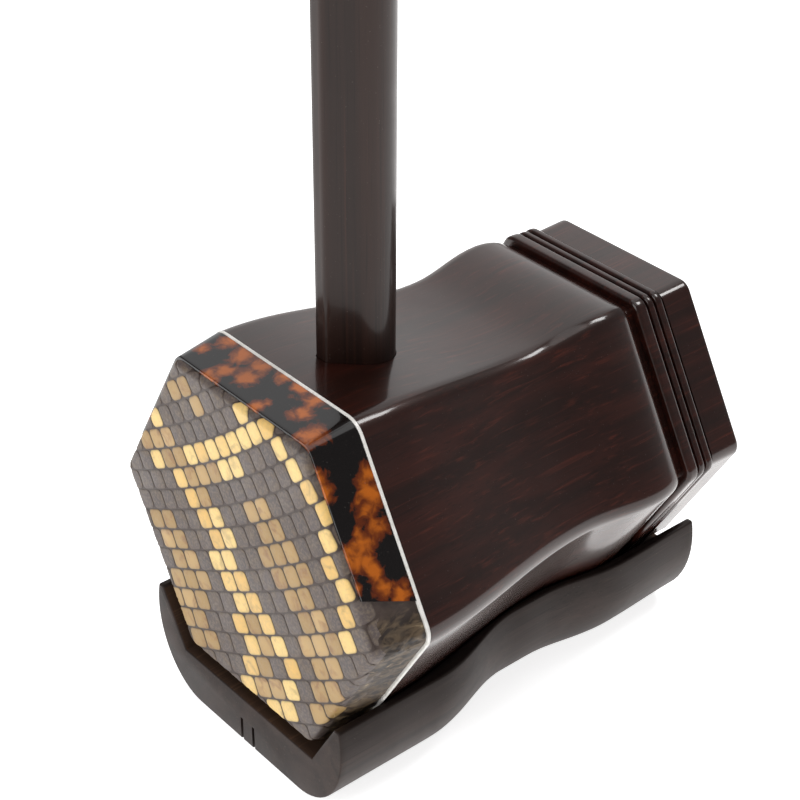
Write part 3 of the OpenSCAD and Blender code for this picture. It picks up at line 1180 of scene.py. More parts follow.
@dataclass(frozen=True)
class Marking:
    """A marking of the snake, counted in scales: it runs down the rows, so many scales wide."""

    tone: Tone
    rows: tuple[int, int]
    along: tuple[float, float]
    reach: float = 0.4

    def holds(self, along: int, down: int) -> bool:
        """Says whether a scale belongs to the marking.

        Args:
            along: The scale's number along its row.
            down: The row's number.

        Returns:
            True where the scale belongs to it.
        """
        first, last = self.rows
        if not first <= down <= last:
            return False
        middle = mix(*self.along, (down - first) / max(last - first, 1))
        return abs(along - middle) <= self.reach


@dataclass(frozen=True)
class Amber:
    """An amber cloud in the tortoiseshell band.

    On the top side it is placed by how far it lies to the right of the neck, and on the two
    sloping sides by how far it lies anticlockwise of their middle.
    """

    side: Side
    along: float
    y: float
    radius: float

    @property
    def beside(self) -> float:
        """How far it lies anticlockwise of its side's middle."""
        return -self.along if self.side is Side.TOP else self.along


@dataclass
class SkinHead:
    """The python skin over the front, the tortoiseshell band and the white line."""

    shape: BoxShape
    row: Vector = field(default_factory=lambda: Vector((5.1, 3.15)))
    column: Vector = field(default_factory=lambda: Vector((4.66, -3.43)))
    middle: Vector = field(default_factory=lambda: Vector((-5.6, -4.8)))
    row_bend: Vector = field(default_factory=lambda: Vector((-0.054, 0.03)))
    fan: Vector = field(default_factory=lambda: Vector((0.053, 0.047)))
    column_bend: Vector = field(default_factory=lambda: Vector((0.01, -0.018)))
    stagger: float = 0.4
    gap: float = 0.14
    rise: float = 0.22
    sunk: float = 0.05
    scale_corner: float = 1.25
    count: int = 14
    overlap: float = 4.6
    rim_reach: float = 3.5
    band_short: float = 14.4
    band_slant: float = 5.0
    corner_steps: int = 12

    MARKINGS = (
        Marking(Tone.GOLD, (-5, -5), (5.5, 5.5), 3.6),
        Marking(Tone.GOLD, (-6, -6), (8, 8)),
        Marking(Tone.GOLD, (-4, -4), (4.5, 4.5), 0.6),
        Marking(Tone.GOLD, (-4, 5), (0, 0)),
        Marking(Tone.GOLD, (-2, -1), (1, 1)),
        Marking(Tone.GOLD, (0, 2), (-1, -1)),
        Marking(Tone.GOLD, (3, 4), (-2, -2)),
        Marking(Tone.GOLD, (5, 6), (-3, -4)),
        Marking(Tone.GOLD, (6, 7), (-1, -2)),
        Marking(Tone.GOLD, (7, 7), (-3, -3)),
        Marking(Tone.GOLD, (-7, -7), (1, 1)),
        Marking(Tone.GOLD, (-5, -5), (-1, -1)),
        Marking(Tone.GOLD, (-4, -2), (9, 9)),
        Marking(Tone.GOLD, (-1, 4), (8.6, 5.4), 0.5),
        Marking(Tone.TAN, (-6, -6), (0, 0), 1.2),
        Marking(Tone.TAN, (-5, -5), (0.5, 0.5), 0.6),
        Marking(Tone.TAN, (-4, -4), (2, 2), 1.2),
        Marking(Tone.TAN, (-3, -3), (1, 1)),
        Marking(Tone.TAN, (3, 6), (-1, -2.5), 0.7),
        Marking(Tone.TAN, (-8, -8), (4.5, 4.5), 1.2),
        Marking(Tone.TAN, (-7, -7), (5, 5), 0.6),
        Marking(Tone.TAN, (-2, 1), (-3.6, -4), 1.1),
        Marking(Tone.TAN, (2, 4), (-5, -5.5), 1.1),
        Marking(Tone.TAN, (-2, 3), (4.5, 3.5), 1.1),
        Marking(Tone.TAN, (4, 7), (3, 0.5), 1.0),
    )

    @property
    def flat(self) -> float:
        """How far the flat part of the skin's face reaches beyond the core hexagon."""
        return self.shape.front - self.shape.rim_drop - self.shape.rim_radius - self.shape.core

    def centre(self, i: float, j: float) -> Vector:
        """Gives the middle of a scale, in rows that bend and fan out as they do on the snake.

        Args:
            i: The scale's number along its row.
            j: The row's number.

        Returns:
            The flat point, before the skin is drawn over the rim.
        """
        bends = self.row_bend * i * i + self.fan * i * j + self.column_bend * j * j
        return self.middle + self.row * i + self.column * j + bends

    def outside_core(self, point: Vector) -> tuple[float, Vector]:
        """Finds how far a flat point lies outside the hexagon that the corners are rounded from.

        Args:
            point: The flat point.

        Returns:
            The distance, below 0 inside, and the way out.
        """
        turn = math.degrees(math.atan2(point.y, point.x))
        face = 30 + 60 * math.floor(turn / 60)
        out, side = polar(1, face), polar(1, face + 90)
        beyond = point.dot(out) - self.shape.core
        slide = point.dot(side)
        past = abs(slide) - self.shape.core * TAN30
        if beyond <= 0 or past <= 0:
            return beyond, out
        half_side = math.copysign(self.shape.core * TAN30, slide)
        corner = out * self.shape.core + side * half_side
        way = point - corner
        return way.length, way.normalized()

    def drawn_over(self, point: Vector, height: float) -> Vector:
        """Draws a flat point of the skin over the front, its rim and the side.

        Args:
            point: The flat point.
            height: How high it stands above the skin.

        Returns:
            Its place on the box.
        """
        shape = self.shape
        flat = self.flat
        distance, way = self.outside_core(point)
        over = distance - flat
        if over <= 0:
            return Vector((point.x, -height, point.y))
        foot = point - way * distance
        bend = min(over / shape.rim_radius, math.pi / 2)
        radius = shape.rim_radius + height
        out = flat + radius * math.sin(bend)
        y = shape.rim_radius - radius * math.cos(bend)
        further = over - shape.rim_radius * math.pi / 2
        if further > 0:
            y = shape.rim_radius + further
            out = shape.skin_half(y) - shape.core + height
        place = foot + way * out
        return Vector((place.x, y, place.y))

    def shell(self) -> BMesh:
        """Builds the skin under the scales: the face, the rim and the part turned back.

        Returns:
            The shell's mesh.
        """
        shape = self.shape
        rim = shape.front - shape.rim_drop - shape.rim_radius
        outline = [
            (rim + shape.rim_radius * math.sin(t), shape.rim_radius * (1 - math.cos(t)))
            for t in spread(0, math.pi / 2, 8)
        ]
        outline += [(shape.skin_half(y), y) for y in spread(1.8, shape.band_end, 20)]
        outline += [(shape.skin_half(y) - shape.skin, y) for y in (shape.band_end, shape.skin)]
        rings = [
            self.subdivided(hexagon(half, half - shape.core, y, self.corner_steps))
            for half, y in outline
        ]
        bm = Loft(rings[0]).extend(*rings[1:]).cap()
        self.crumple(bm)
        return bm

    def crumple(self, bm: BMesh) -> None:
        """Swells and frays the skin that is turned back below the band's ends.

        Args:
            bm: The skin under the scales.
        """
        for vert in bm.verts:
            if not 1.0 < vert.co.y < self.shape.band_end - 0.1:
                continue
            place = vert.co.copy()
            push = noise.noise(Vector((place.x * 0.5, place.y * 0.25, place.z * 0.5)))
            fray = noise.noise(Vector((place.x * 1.7, place.y * 0.9, place.z * 1.7)))
            out = Vector((place.x, 0, place.z)).normalized()
            vert.co += out * self.turned_share(place) * (0.25 + 0.45 * push + 0.3 * fray)

    @staticmethod
    def subdivided(ring: Sequence[Vector]) -> list[Vector]:
        """Adds points along a ring's long straight stretches.

        Args:
            ring: The ring's points.

        Returns:
            The points with the added ones.
        """
        points: list[Vector] = []
        for a, b in zip(ring, list(ring[1:]) + [ring[0]]):
            count = 24 if (b - a).length > 12 else 1
            points += [a.lerp(b, i / count) for i in range(count)]
        return points

    def turned_share(self, place: Vector) -> float:
        """Says how much of a place is skin turned back below the band's ends, from 0 to 1."""
        below = min(max((8.0 - place.z) / 3.0, 0.0), 1.0)
        return below * min(max((place.y - 1.6) / 1.2, 0.0), 1.0)

    def scales(self) -> BMesh:
        """Lays the scales: rounded tiles that rise from their feet to a low crown.

        Returns:
            The scales, flat on the plane of the face and facing forwards.
        """
        bm = bmesh.new()
        layers = {key: bm.verts.layers.float.new(key) for key in ("gold", "tan", "lot")}
        over_rim = bm.faces.layers.int.new("over_rim")
        chance = random.Random(7)
        numbers = range(-self.count, self.count + 1)
        for i in numbers:
            for j in numbers:
                middle = self.centre(i, j)
                distance = self.outside_core(middle)[0]
                if distance > self.flat + self.overlap:
                    continue
                tone = next((m.tone for m in self.MARKINGS if m.holds(i, j)), None)
                marks = {"gold": tone is Tone.GOLD, "tan": tone is Tone.TAN, "lot": chance.random()}
                row = (self.centre(i + 1, j) - self.centre(i - 1, j)) / 4
                column = (self.centre(i, j + 1) - self.centre(i, j - 1)) / 4 - row * self.stagger
                row *= 1 - self.gap / row.length
                column *= 1 - self.gap / column.length
                corners = [
                    bm.verts.new((p.x, 0, p.y))
                    for p in (
                        middle + row + column,
                        middle + row - column,
                        middle - row - column,
                        middle - row + column,
                    )
                ]
                for key, value in marks.items():
                    for vert in corners:
                        vert[layers[key]] = float(value)
                bm.faces.new(corners)[over_rim] = int(distance > self.flat - self.rim_reach)
        bmesh.ops.bevel(
            bm,
            geom=list(bm.verts),
            offset=self.scale_corner,
            offset_type="OFFSET",
            segments=3,
            profile=0.5,
            affect="VERTICES",
            clamp_overlap=True,
            material=-1,
        )
        bm.normal_update()
        bmesh.ops.reverse_faces(bm, faces=[f for f in bm.faces if f.normal.y > 0])
        self.raise_crowns(bm)
        rim_edges = {e for f in bm.faces if f[over_rim] for e in f.edges}
        bmesh.ops.subdivide_edges(bm, edges=list(rim_edges), cuts=2, use_grid_fill=True)
        return bm

    def raise_crowns(self, bm: BMesh) -> None:
        """Raises each flat scale in steps to its crown.

        Args:
            bm: The flat scales, facing forwards.
        """
        wall, shoulders, crown = 0.45, ((0.16, 0.3), (0.34, 0.15)), 0.1
        raised = bmesh.ops.extrude_face_region(bm, geom=list(bm.faces), use_keep_orig=True)
        verts = [g for g in raised["geom"] if isinstance(g, BMVert)]
        tops = [g for g in raised["geom"] if isinstance(g, BMFace)]
        bmesh.ops.translate(bm, vec=(0, -wall * self.rise, 0), verts=verts)
        for inwards, share in shoulders:
            bmesh.ops.inset_individual(
                bm, faces=tops, thickness=inwards, depth=share * self.rise, use_even_offset=True
            )
        bmesh.ops.poke(bm, faces=tops, offset=crown * self.rise)

    def dress_scales(self, bm: BMesh) -> None:
        """Stores how high each point rises, then draws the scales over the rim.

        Args:
            bm: The flat scales.
        """
        rise = bm.verts.layers.float.new("rise")
        for vert in bm.verts:
            height = max(-vert.co.y, 0.0)
            vert[rise] = height / self.rise
            vert.co = self.drawn_over(Vector((vert.co.x, vert.co.z)), height - self.sunk)

    def skin(self) -> BMesh:
        """Joins the shell and the scales into one piece of skin.

        Returns:
            The skin's mesh.
        """
        scales = self.scales()
        self.dress_scales(scales)
        shell = self.shell()
        for key in ("gold", "tan", "lot", "rise"):
            shell.verts.layers.float.new(key)
        laid = bpy.data.meshes.new("laid_scales")
        scales.to_mesh(laid)
        scales.free()
        shell.from_mesh(laid)
        bpy.data.meshes.remove(laid)
        turned = shell.verts.layers.float.new("turned")
        rise = shell.verts.layers.float["rise"]
        for vert in shell.verts:
            if vert[rise] <= 0:
                vert[turned] = self.turned_share(vert.co)
        return shell

    def band_outline(self) -> list[tuple[float, float]]:
        """Draws the band's edge: how far each point stands outside the skin, and its y.

        Returns:
            The outline's points.
        """
        shape = self.shape
        start, end = shape.rim_radius, shape.band_end
        outline = [(0.0, end), (0.0, start), (0.4, start), (0.62, start + 0.08)]
        outline += [(shape.band, y) for y in spread(start + 0.3, end - 0.15, 18)]
        return outline + [(shape.band - 0.15, end)]

    def band_section(self, base: Vector, turn: float, slide: float) -> list[Vector]:
        """Draws the band across at one place.

        Args:
            base: The place on the core hexagon.
            turn: The angle that the band's face looks along there.
            slide: How far the rear edge lies beside the front one.

        Returns:
            The section's points.
        """
        shape = self.shape
        start = shape.rim_radius
        points = []
        for depth, y in self.band_outline():
            lean = slide * (y - start) / (shape.band_end - start)
            out = shape.skin_half(y) - shape.core + depth
            flat = base + polar(out, turn) + polar(lean, turn - 90)
            points.append(Vector((flat.x, y, flat.y)))
        return points

    def band(self) -> BMesh:
        """Builds the tortoiseshell sheet that is bent over the three upper sides.

        Returns:
            The band's mesh.
        """
        core = self.shape.core
        reach = self.shape.front * TAN30 - self.band_short
        half_side = core * TAN30
        right, top, left = (s.value for s in (Side.UPPER_RIGHT, Side.TOP, Side.UPPER_LEFT))
        runs = (
            (right, -reach, half_side),
            (top, -half_side, half_side),
            (left, -half_side, reach),
        )
        sections: list[list[Vector]] = []
        for side, first, last in runs:
            for place in spread(first, last, 50):
                lean = self.band_slant * max(0.0, (abs(place) if side != top else 0.0) / reach)
                lean *= (side == right and place < 0) - (side == left and place > 0)
                base = polar(core, side) + polar(place, side + 90)
                sections.append(self.band_section(base, side, lean))
            if side < left:
                corner = polar(core / COS30, side + 30)
                turns = range(side + 6, side + 60, 6)
                sections += [self.band_section(corner, t, 0.0) for t in turns]
        bm = Loft(sections[0]).extend(*sections[1:]).cap()
        self.store_amber(bm)
        return bm

    AMBER = (
        Amber(Side.TOP, -19, 12.0, 3.2),
        Amber(Side.TOP, -13, 11.0, 3.4),
        Amber(Side.TOP, -6, 11.5, 3.4),
        Amber(Side.TOP, -5, 6.5, 3.2),
        Amber(Side.TOP, -11, 5.0, 2.6),
        Amber(Side.TOP, 1, 12.8, 2.8),
        Amber(Side.TOP, 7, 12.6, 3.0),
        Amber(Side.TOP, 13, 12.0, 3.4),
        Amber(Side.TOP, 14, 7.5, 3.2),
        Amber(Side.TOP, 21, 3.5, 4.4),
        Amber(Side.TOP, 5, 2.8, 2.6),
        Amber(Side.TOP, -12, 1.0, 3.4),
        Amber(Side.TOP, -22, 6.0, 2.6),
        Amber(Side.UPPER_RIGHT, 14, 12.2, 3.0),
        Amber(Side.UPPER_RIGHT, 10, 11.5, 3.2),
        Amber(Side.UPPER_RIGHT, 7, 8.8, 3.0),
        Amber(Side.UPPER_RIGHT, 3, 9.5, 3.0),
        Amber(Side.UPPER_RIGHT, 1, 5.5, 3.4),
        Amber(Side.UPPER_RIGHT, -3, 4.0, 3.2),
        Amber(Side.UPPER_RIGHT, -6, 6.0, 2.6),
        Amber(Side.UPPER_RIGHT, -10, 7.0, 3.0),
        Amber(Side.UPPER_RIGHT, -13, 10.0, 3.0),
        Amber(Side.UPPER_RIGHT, 17, 1.0, 2.6),
        Amber(Side.UPPER_RIGHT, 14, 1.0, 2.4),
        Amber(Side.UPPER_RIGHT, 0, 1.2, 2.6),
        Amber(Side.UPPER_RIGHT, -8, 1.0, 1.6),
        Amber(Side.UPPER_LEFT, 18, 6.0, 3.6),
        Amber(Side.UPPER_LEFT, 10, 11.0, 3.4),
        Amber(Side.UPPER_LEFT, 3, 4.0, 3.6),
        Amber(Side.UPPER_LEFT, -4, 9.0, 3.2),
        Amber(Side.UPPER_LEFT, -11, 4.0, 3.4),
    )

    def store_amber(self, bm: BMesh) -> None:
        """Stores on each point how near the middle of an amber cloud it lies.

        Args:
            bm: The band's mesh.
        """
        amber = bm.verts.layers.float.new("amber")
        clouds: list[tuple[Vector, float]] = []
        for cloud in self.AMBER:
            turn = cloud.side.value
            out = self.shape.skin_half(cloud.y) + self.shape.band
            flat = polar(out, turn) + polar(cloud.beside, turn + 90)
            clouds.append((Vector((flat.x, cloud.y, flat.y)), cloud.radius))
        for vert in bm.verts:
            near = max(1.0 - (vert.co - middle).length / radius for middle, radius in clouds)
            vert[amber] = min(max(0.5 + near * 0.5, 0.0), 1.0)

    def line(self) -> BMesh:
        """Builds the white line round the box behind the skin and the band.

        Returns:
            The line's mesh.
        """
        shape = self.shape
        proud, edge = 0.1, 0.2
        start, end = shape.band_end, shape.line_end
        outer = shape.front + proud
        inner = shape.skin_half(end) - shape.skin
        outline = [
            (outer - edge, start),
            (outer, start + edge),
            (outer, end - edge),
            (outer - edge, end),
            (inner, end),
            (inner, start),
        ]
        rings = [hexagon(half, half - shape.core, y, self.corner_steps) for half, y in outline]
        return Loft(rings[0]).extend(*rings[1:]).close()

    def build(self, bench: Bench) -> None:
        """Builds the skin and its trim.

        Args:
            bench: The bench that the pieces are finished on.
        """
        bench.set_piece(self.skin(), "python_skin", PYTHON, ["skin_head"], crease=50.0)
        bench.set_piece(self.band(), "tortoiseshell_trim", SHELL, ["trim_band"])
        bench.set_piece(self.line(), "celluloid_line", CELLULOID, ["white_line"])


@dataclass
class NeckStick:
    """The neck with its curved head and the bone plate on the head's end."""

    shape: BoxShape
    pegs: Sequence[float]
    top: float
    foot: float = -47.0
    width: float = 16.4
    depth: float = 19.5
    edge: float = 3.8
    set_back: float = 23.8
    head_radius: float = 56.0
    head_angle: float = 68.0
    growth: float = 0.3
    steps: int = 32
    journal: float = 4.55
    easy_stretch: float = 12.0

    @property
    def back(self) -> float:
        """Radius of the round back."""
        return self.width / 2

    @property
    def middle(self) -> float:
        """Distance of the round back's centre behind the skin."""
        return self.set_back + self.depth - self.back

    def outline(self, gap: float = 0.0, soft: float = 0.45) -> list[Vector]:
        """Draws the neck across, seen from above and centred on its round back.

        Args:
            gap: How much wider it is drawn all round.
            soft: The width of the rounded front edges.

        Returns:
            Flat points, with a close pair beside each edge.
        """
        radius, half = self.back + gap, self.edge / 2 + gap / 2
        front = -(self.depth - self.back + gap)
        corner = Vector((half, front))
        tangent = math.degrees(math.atan2(front, half) + math.acos(radius / corner.length))
        touch = polar(radius, tangent)
        way = (touch - corner).normalized()
        right = [
            corner - Vector((soft * 2.5, 0)),
            corner - Vector((soft, 0)),
            corner + (way + Vector((-1, 0))).normalized() * soft * 0.35,
            corner + way * soft,
            corner + way * soft * 2.5,
            touch - way * 0.8,
        ]
        left = [Vector((-p.x, p.y)) for p in reversed(right)]
        return right + arc(Vector((0, 0)), radius, tangent, 180 - tangent, self.steps) + left

    def level(self, z: float, gap: float = 0.0) -> list[Vector]:
        """Gives the neck's outline at a height."""
        return [Vector((p.x, p.y + self.middle, z)) for p in self.outline(gap)]

    def bar(self, low: float, high: float, gap: float) -> BMesh:
        """Builds a straight stretch of the neck between two heights."""
        return Loft(self.level(low, gap)).extend(self.level(high, gap)).cap()

    def stick(self) -> BMesh:
        """Builds the straight neck with a hole for each peg.

        Returns:
            The neck's mesh.
        """
        beside = [z + d for z in self.pegs for d in (-self.easy_stretch, self.easy_stretch)]
        heights = sorted([self.foot, 0.0, 120.0, 360.0, *beside, self.top])
        rings = [self.level(z) for z in heights]
        bm = Loft(rings[0]).extend(*rings[1:]).cap()
        length = self.depth * 3
        middles = [Vector((0, self.middle, z)) for z in self.pegs]
        holes = [drum(self.journal, length, middle, "Y", 64) for middle in middles]
        return drop_collapsed(cut(bm, *holes))

    def head_section(self, share: float) -> list[Vector]:
        """Draws the head across at a share of its bend.

        Args:
            share: How much of the bend lies below the section.

        Returns:
            The section's points.
        """
        turn, grow = math.radians(self.head_angle * share), 1 + self.growth * ease(share)
        points = []
        for p in self.outline():
            out = self.head_radius - p.y * grow
            y = self.middle + self.head_radius - out * math.cos(turn)
            points.append(Vector((p.x * mix(1, grow, 0.5), y, self.top + out * math.sin(turn))))
        return points

    def head(self) -> BMesh:
        """Builds the head, bent backwards and growing towards its end."""
        rings = [self.head_section(share) for share in spread(0, 1, 32)]
        return Loft(rings[0]).extend(*rings[1:]).cap()

    def build(self, bench: Bench) -> None:
        """Builds the neck, the head and the bone plate, and dresses the hidden wedge.

        Args:
            bench: The bench that the pieces are finished on.
        """
        bench.set_piece(self.stick(), "neck_stick", NECK_WOOD, ["neck"])
        bench.set_piece(self.head(), "curved_head", NECK_WOOD, ["head"])
        bench.refine_node("head_plate", "bone_head_plate", BONE, 0.5)
        bench.refine_node("neck_wedge", "foot_wedge", NECK_WOOD, 0.15)


@dataclass
class Tuner:
    """A tuning peg with its bone ring and bone button."""

    name: str
    body: str
    height: float
    front: float = -0.2
    journal: float = 4.5
    string_radius: float = 3.8
    string_end: float = 24.0
    neck_depth: float = 19.5
    gap: float = 0.4
    shank: float = 13.0
    ring: float = 3.0
    grip: float = 100.0
    grip_radius: float = 12.5
    button: float = 7.0
    flutes: int = 8
    flute_depth: float = 1.5
    string_hole: float = 0.9
    bulge: float = 5.0
    bulge_len: float = 8.0
    crown_turn: float = 75.0
    turns: int = 96

    @property
    def back(self) -> float:
        """Where the shank starts behind the neck, from the string end."""
        return self.string_end + self.neck_depth + self.gap

    @property
    def grip_start(self) -> float:
        """Where the grip starts, from the string end."""
        return self.back + self.shank

    @property
    def length(self) -> float:
        """The wooden peg's whole length."""
        return self.grip_start + self.grip

    def bulb(self, degrees: float) -> tuple[float, float]:
        """Gives the radius and length of a point on the grip's round end.

        Args:
            degrees: 0 where the round end starts, 90 at its middle.

        Returns:
            The radius and the length.
        """
        turn = math.radians(degrees)
        radius = self.grip_radius - self.bulge + self.bulge * math.cos(turn)
        return radius, self.length - self.bulge_len + self.bulge_len * math.sin(turn)

    def turned(self, outline: Sequence[tuple[float, float]]) -> BMesh:
        """Turns an outline of radius and length round the peg's axis.

        Args:
            outline: Each point's radius and its distance from the string end.

        Returns:
            The turned mesh.
        """
        bm = bmesh.new()
        verts = [bm.verts.new((radius, self.front + y, self.height)) for radius, y in outline]
        edges = [bm.edges.new(pair) for pair in zip(verts, verts[1:])]
        centre = Vector((0, 0, self.height))
        bmesh.ops.spin(
            bm,
            geom=verts + edges,
            cent=centre,
            axis=(0, 1, 0),
            dvec=(0, 0, 0),
            angle=math.tau,
            steps=self.turns,
            use_merge=True,
            use_duplicate=False,
        )
        bmesh.ops.remove_doubles(bm, verts=bm.verts, dist=1e-4)
        return bm

    def peg(self) -> BMesh:
        """Turns the wooden peg, carves its flutes and bores the string hole.

        Returns:
            The peg's mesh.
        """
        thin, journal = self.string_radius, self.journal
        shank = journal + 1.1
        root = shank + 1.0
        turn_in = self.back + self.shank - self.ring - 2
        outline = [
            (0.0, 0.0),
            (thin - 0.8, 0.0),
            (thin - 0.23, 0.23),
            (thin, 0.8),
            (thin, self.string_end - 4),
            (journal, self.string_end - 3),
            (journal, self.back),
            (shank - 0.3, self.back),
            (shank, self.back + 0.3),
            (shank, turn_in - 0.3),
            (shank - 0.3, turn_in),
            (journal, turn_in),
            (journal, self.grip_start),
            (root - 0.4, self.grip_start),
            (root, self.grip_start + 0.4),
        ]
        swell = spread(self.grip_start + 2, self.length - self.bulge_len, 40)
        outline += [(mix(root, self.grip_radius, ease(i / 40)), y) for i, y in enumerate(swell)]
        outline += [self.bulb(t) for t in (10, 20, 30, 40, 50, 60, self.crown_turn)]
        outline.append((0.0, self.bulb(self.crown_turn)[1]))
        bm = self.turned(outline)
        self.carve_flutes(bm, root)
        middle = Vector((0, self.front + self.string_end / 2, self.height))
        return cut(bm, drum(self.string_hole, thin * 4, middle, "X", 32))

    def carve_flutes(self, bm: BMesh, root: float) -> None:
        """Presses a groove into the grip between each pair of ribs.

        Args:
            bm: The turned peg.
            root: The grip's radius at its foot.
        """
        for vert in bm.verts:
            y = vert.co.y - self.front
            share = (y - self.grip_start - 4) / (self.grip - 14)
            flat = Vector((vert.co.x, vert.co.z - self.height))
            if not 0 < share < 1 or flat.length < root:
                continue
            wave = math.cos(self.flutes * math.atan2(flat.y, flat.x))
            fade = math.sin(math.pi * share) ** 0.4
            flat *= 1 - self.flute_depth * max(0.0, wave) ** 2 * fade / flat.length
            vert.co.x, vert.co.z = flat.x, flat.y + self.height

    def bone_ring(self) -> BMesh:
        """Turns the bone ring at the foot of the grip.

        Returns:
            The ring's mesh.
        """
        inner, outer = self.journal + 0.05, self.journal + 3.1
        start = self.grip_start - self.ring - 1
        end = start + self.ring + 1
        outline = [
            (inner, start),
            (outer - 0.8, start),
            (outer - 0.23, start + 0.23),
            (outer, start + 0.8),
            (outer, end - 0.8),
            (outer - 0.23, end - 0.23),
            (outer - 0.8, end),
            (inner, end),
            (inner, start),
        ]
        return self.turned(outline)

    def bone_button(self) -> BMesh:
        """Turns the domed bone button on the grip's end.

        Returns:
            The button's mesh.
        """
        foot, start = self.bulb(self.crown_turn)
        rise = self.length + self.button - start - 1
        radius = foot - 1.5
        outline = [(0.0, start), (radius - 0.2, start), (radius, start + 0.2)]
        for turn in (math.radians(t) for t in range(0, 90, 6)):
            outline.append((radius * math.cos(turn), start + 1 + rise * math.sin(turn)))
        outline.append((0.0, start + 1 + rise))
        return self.turned(outline)

    def build(self, bench: Bench) -> None:
        """Builds the peg's three pieces.

        Args:
            bench: The bench that the pieces are finished on.
        """
        name, node = self.name, f"{self.name}_peg"
        pieces = (
            (self.peg(), f"{name}_tuning_peg", PEG_WOOD, node),
            (self.bone_ring(), f"{name}_bone_ring", BONE, f"{node}_ring"),
            (self.bone_button(), f"{name}_bone_button", BONE, f"{node}_button"),
        )
        for bm, piece, finish, replaced in pieces:
            bench.set_piece(bm, piece, finish, [replaced], self.body)


@dataclass
class Cradle:
    """The waisted cradle under the box, and what fastens and strings it."""

    shape: BoxShape
    foot: float = -58.0
    width: float = 73.6
    waist_in: float = 7.1
    swell_in: float = 3.6
    tail_in: float = 0.8
    lap: float = 1.0
    wing: float = 28.5
    round_width: float = 16.8
    round_height: float = 22.0
    seat_gap: float = 0.3
    slot_pitch: float = 4.6
    slot_width: float = 1.0
    slot_height: float = 7.0
    slot_end: float = 11.0
    steps: int = 60
    round_steps: int = 18

    def half(self, y: float) -> float:
        """Gives the cradle's half width, which follows the box's waist and swelling.

        Args:
            y: Distance behind the skin.

        Returns:
            The half width.
        """
        shape = self.shape
        start, out = shape.waist_y - 40, shape.swell_y + 4
        if y < shape.waist_y:
            come_in = self.waist_in * ease((y - start) / 31)
        elif y < out:
            share = ease((y - shape.waist_y) / (out - shape.waist_y))
            come_in = mix(self.waist_in, self.swell_in, share)
        else:
            come_in = self.swell_in + self.tail_in * ease((y - out) / (shape.length - out))
        return self.width / 2 - come_in

    def seat(self, y: float) -> float:
        """Gives the half width of the channel that the box lies in.

        Args:
            y: Distance behind the skin.

        Returns:
            The half width across flats.
        """
        shape = self.shape
        if y < shape.line_end:
            return self.seat_gap + shape.front
        return self.seat_gap + (shape.half(y) if y < shape.swell_y else shape.swell)

    def section(self, y: float) -> list[Vector]:
        """Draws the cradle across at a distance behind the skin.

        Args:
            y: Distance behind the skin.

        Returns:
            The section's points.
        """
        half, top = self.half(y), self.foot + self.wing
        tip = math.degrees(math.asin(self.wing / self.round_height - 1))
        centre = Vector((half - self.round_width, self.foot + self.round_height))
        right = []
        for turn in (math.radians(t) for t in spread(tip, -90, self.round_steps)):
            way = Vector((self.round_width * math.cos(turn), self.round_height * math.sin(turn)))
            right.append(centre + way)
        right.append(right[-1] - Vector((0.8, 0)))
        left = [Vector((-p.x, p.y)) for p in reversed(right)]
        seat = self.seat(y)
        inner_top = Vector(((seat + top * 0.5) / COS30, top))
        inner_low = Vector((seat * TAN30, -seat))
        inside = [
            Vector((-inner_top.x, top)),
            Vector((-inner_low.x, inner_low.y)),
            inner_low,
            inner_top,
        ]
        return across(right + left + inside, y)

    def body(self) -> BMesh:
        """Builds the cradle with its slots, its pocket and a round recess underneath.

        Returns:
            The cradle's mesh.
        """
        stations = spread(-self.lap, self.shape.length, self.steps)
        loft = Loft(self.section(stations[0])).extend(*[self.section(y) for y in stations[1:]])
        bm = loft.cap()
        outer = 2 * (self.round_steps + 2)
        tips = loft.along(0, outer - 1, outer, outer + 3)
        ends = (stations[0], stations[-1])
        soften(bm, tips, 0.55, 3)
        rims = sharp_edges(bm, 50.0, lambda m: min(abs(m.y - e) for e in ends) < 0.01)
        soften(bm, rims, 0.6, 3)
        floor = self.foot - 1
        slots = [
            block(
                Vector((x - self.slot_width / 2, -self.lap - 1, floor)),
                Vector((x + self.slot_width / 2, self.slot_end, self.foot + self.slot_height)),
            )
            for x in (-self.slot_pitch / 2, self.slot_pitch / 2)
        ]
        pocket = block(Vector((-10, 10, floor)), Vector((10, 43.1, self.foot + 6)))
        recess = drum(6.0, 14.0, Vector((0, 93, floor)), "Z", 64)
        bm = cut(bm, *slots, pocket, recess)
        self.mark_bare(bm)
        return bm

    def mark_bare(self, bm: BMesh) -> None:
        """Marks the channel's faces, which are left as bare wood.

        Args:
            bm: The cradle's mesh.
        """
        bare = bm.faces.layers.float.new("bare")
        bm.normal_update()
        for face in bm.faces:
            middle = face.calc_center_median()
            depth = max(-middle.z, abs(middle.x) * COS30 - middle.z * 0.5)
            inside = depth < self.seat(middle.y) + 0.2 and middle.z < self.foot + self.wing - 0.7
            face[bare] = float(inside and abs(face.normal.y) < 0.5)

    def build(self, bench: Bench) -> None:
        """Builds the cradle and its fastenings.

        Args:
            bench: The bench that the pieces are finished on.
        """
        bench.set_piece(self.body(), "waisted_cradle", CRADLE_WOOD, ["cradle"], crease=28.0)
        bench.refine_node("cradle_screws", "slotted_screws", STEEL, 0.2)
        bench.refine_node("screw_washers", "steel_washers", STEEL, 0.12)
        bench.refine_node("tail_pin", "brass_tail_pin", BRASS, 0.3)


# --- Studio ----------------------------------------------------------------------------------


@dataclass(frozen=True)
class Softbox:
    """A large soft lamp that looks at the sound box."""

    name: str
    azimuth: float
    elevation: float
    distance: float
    size: float
    power: float


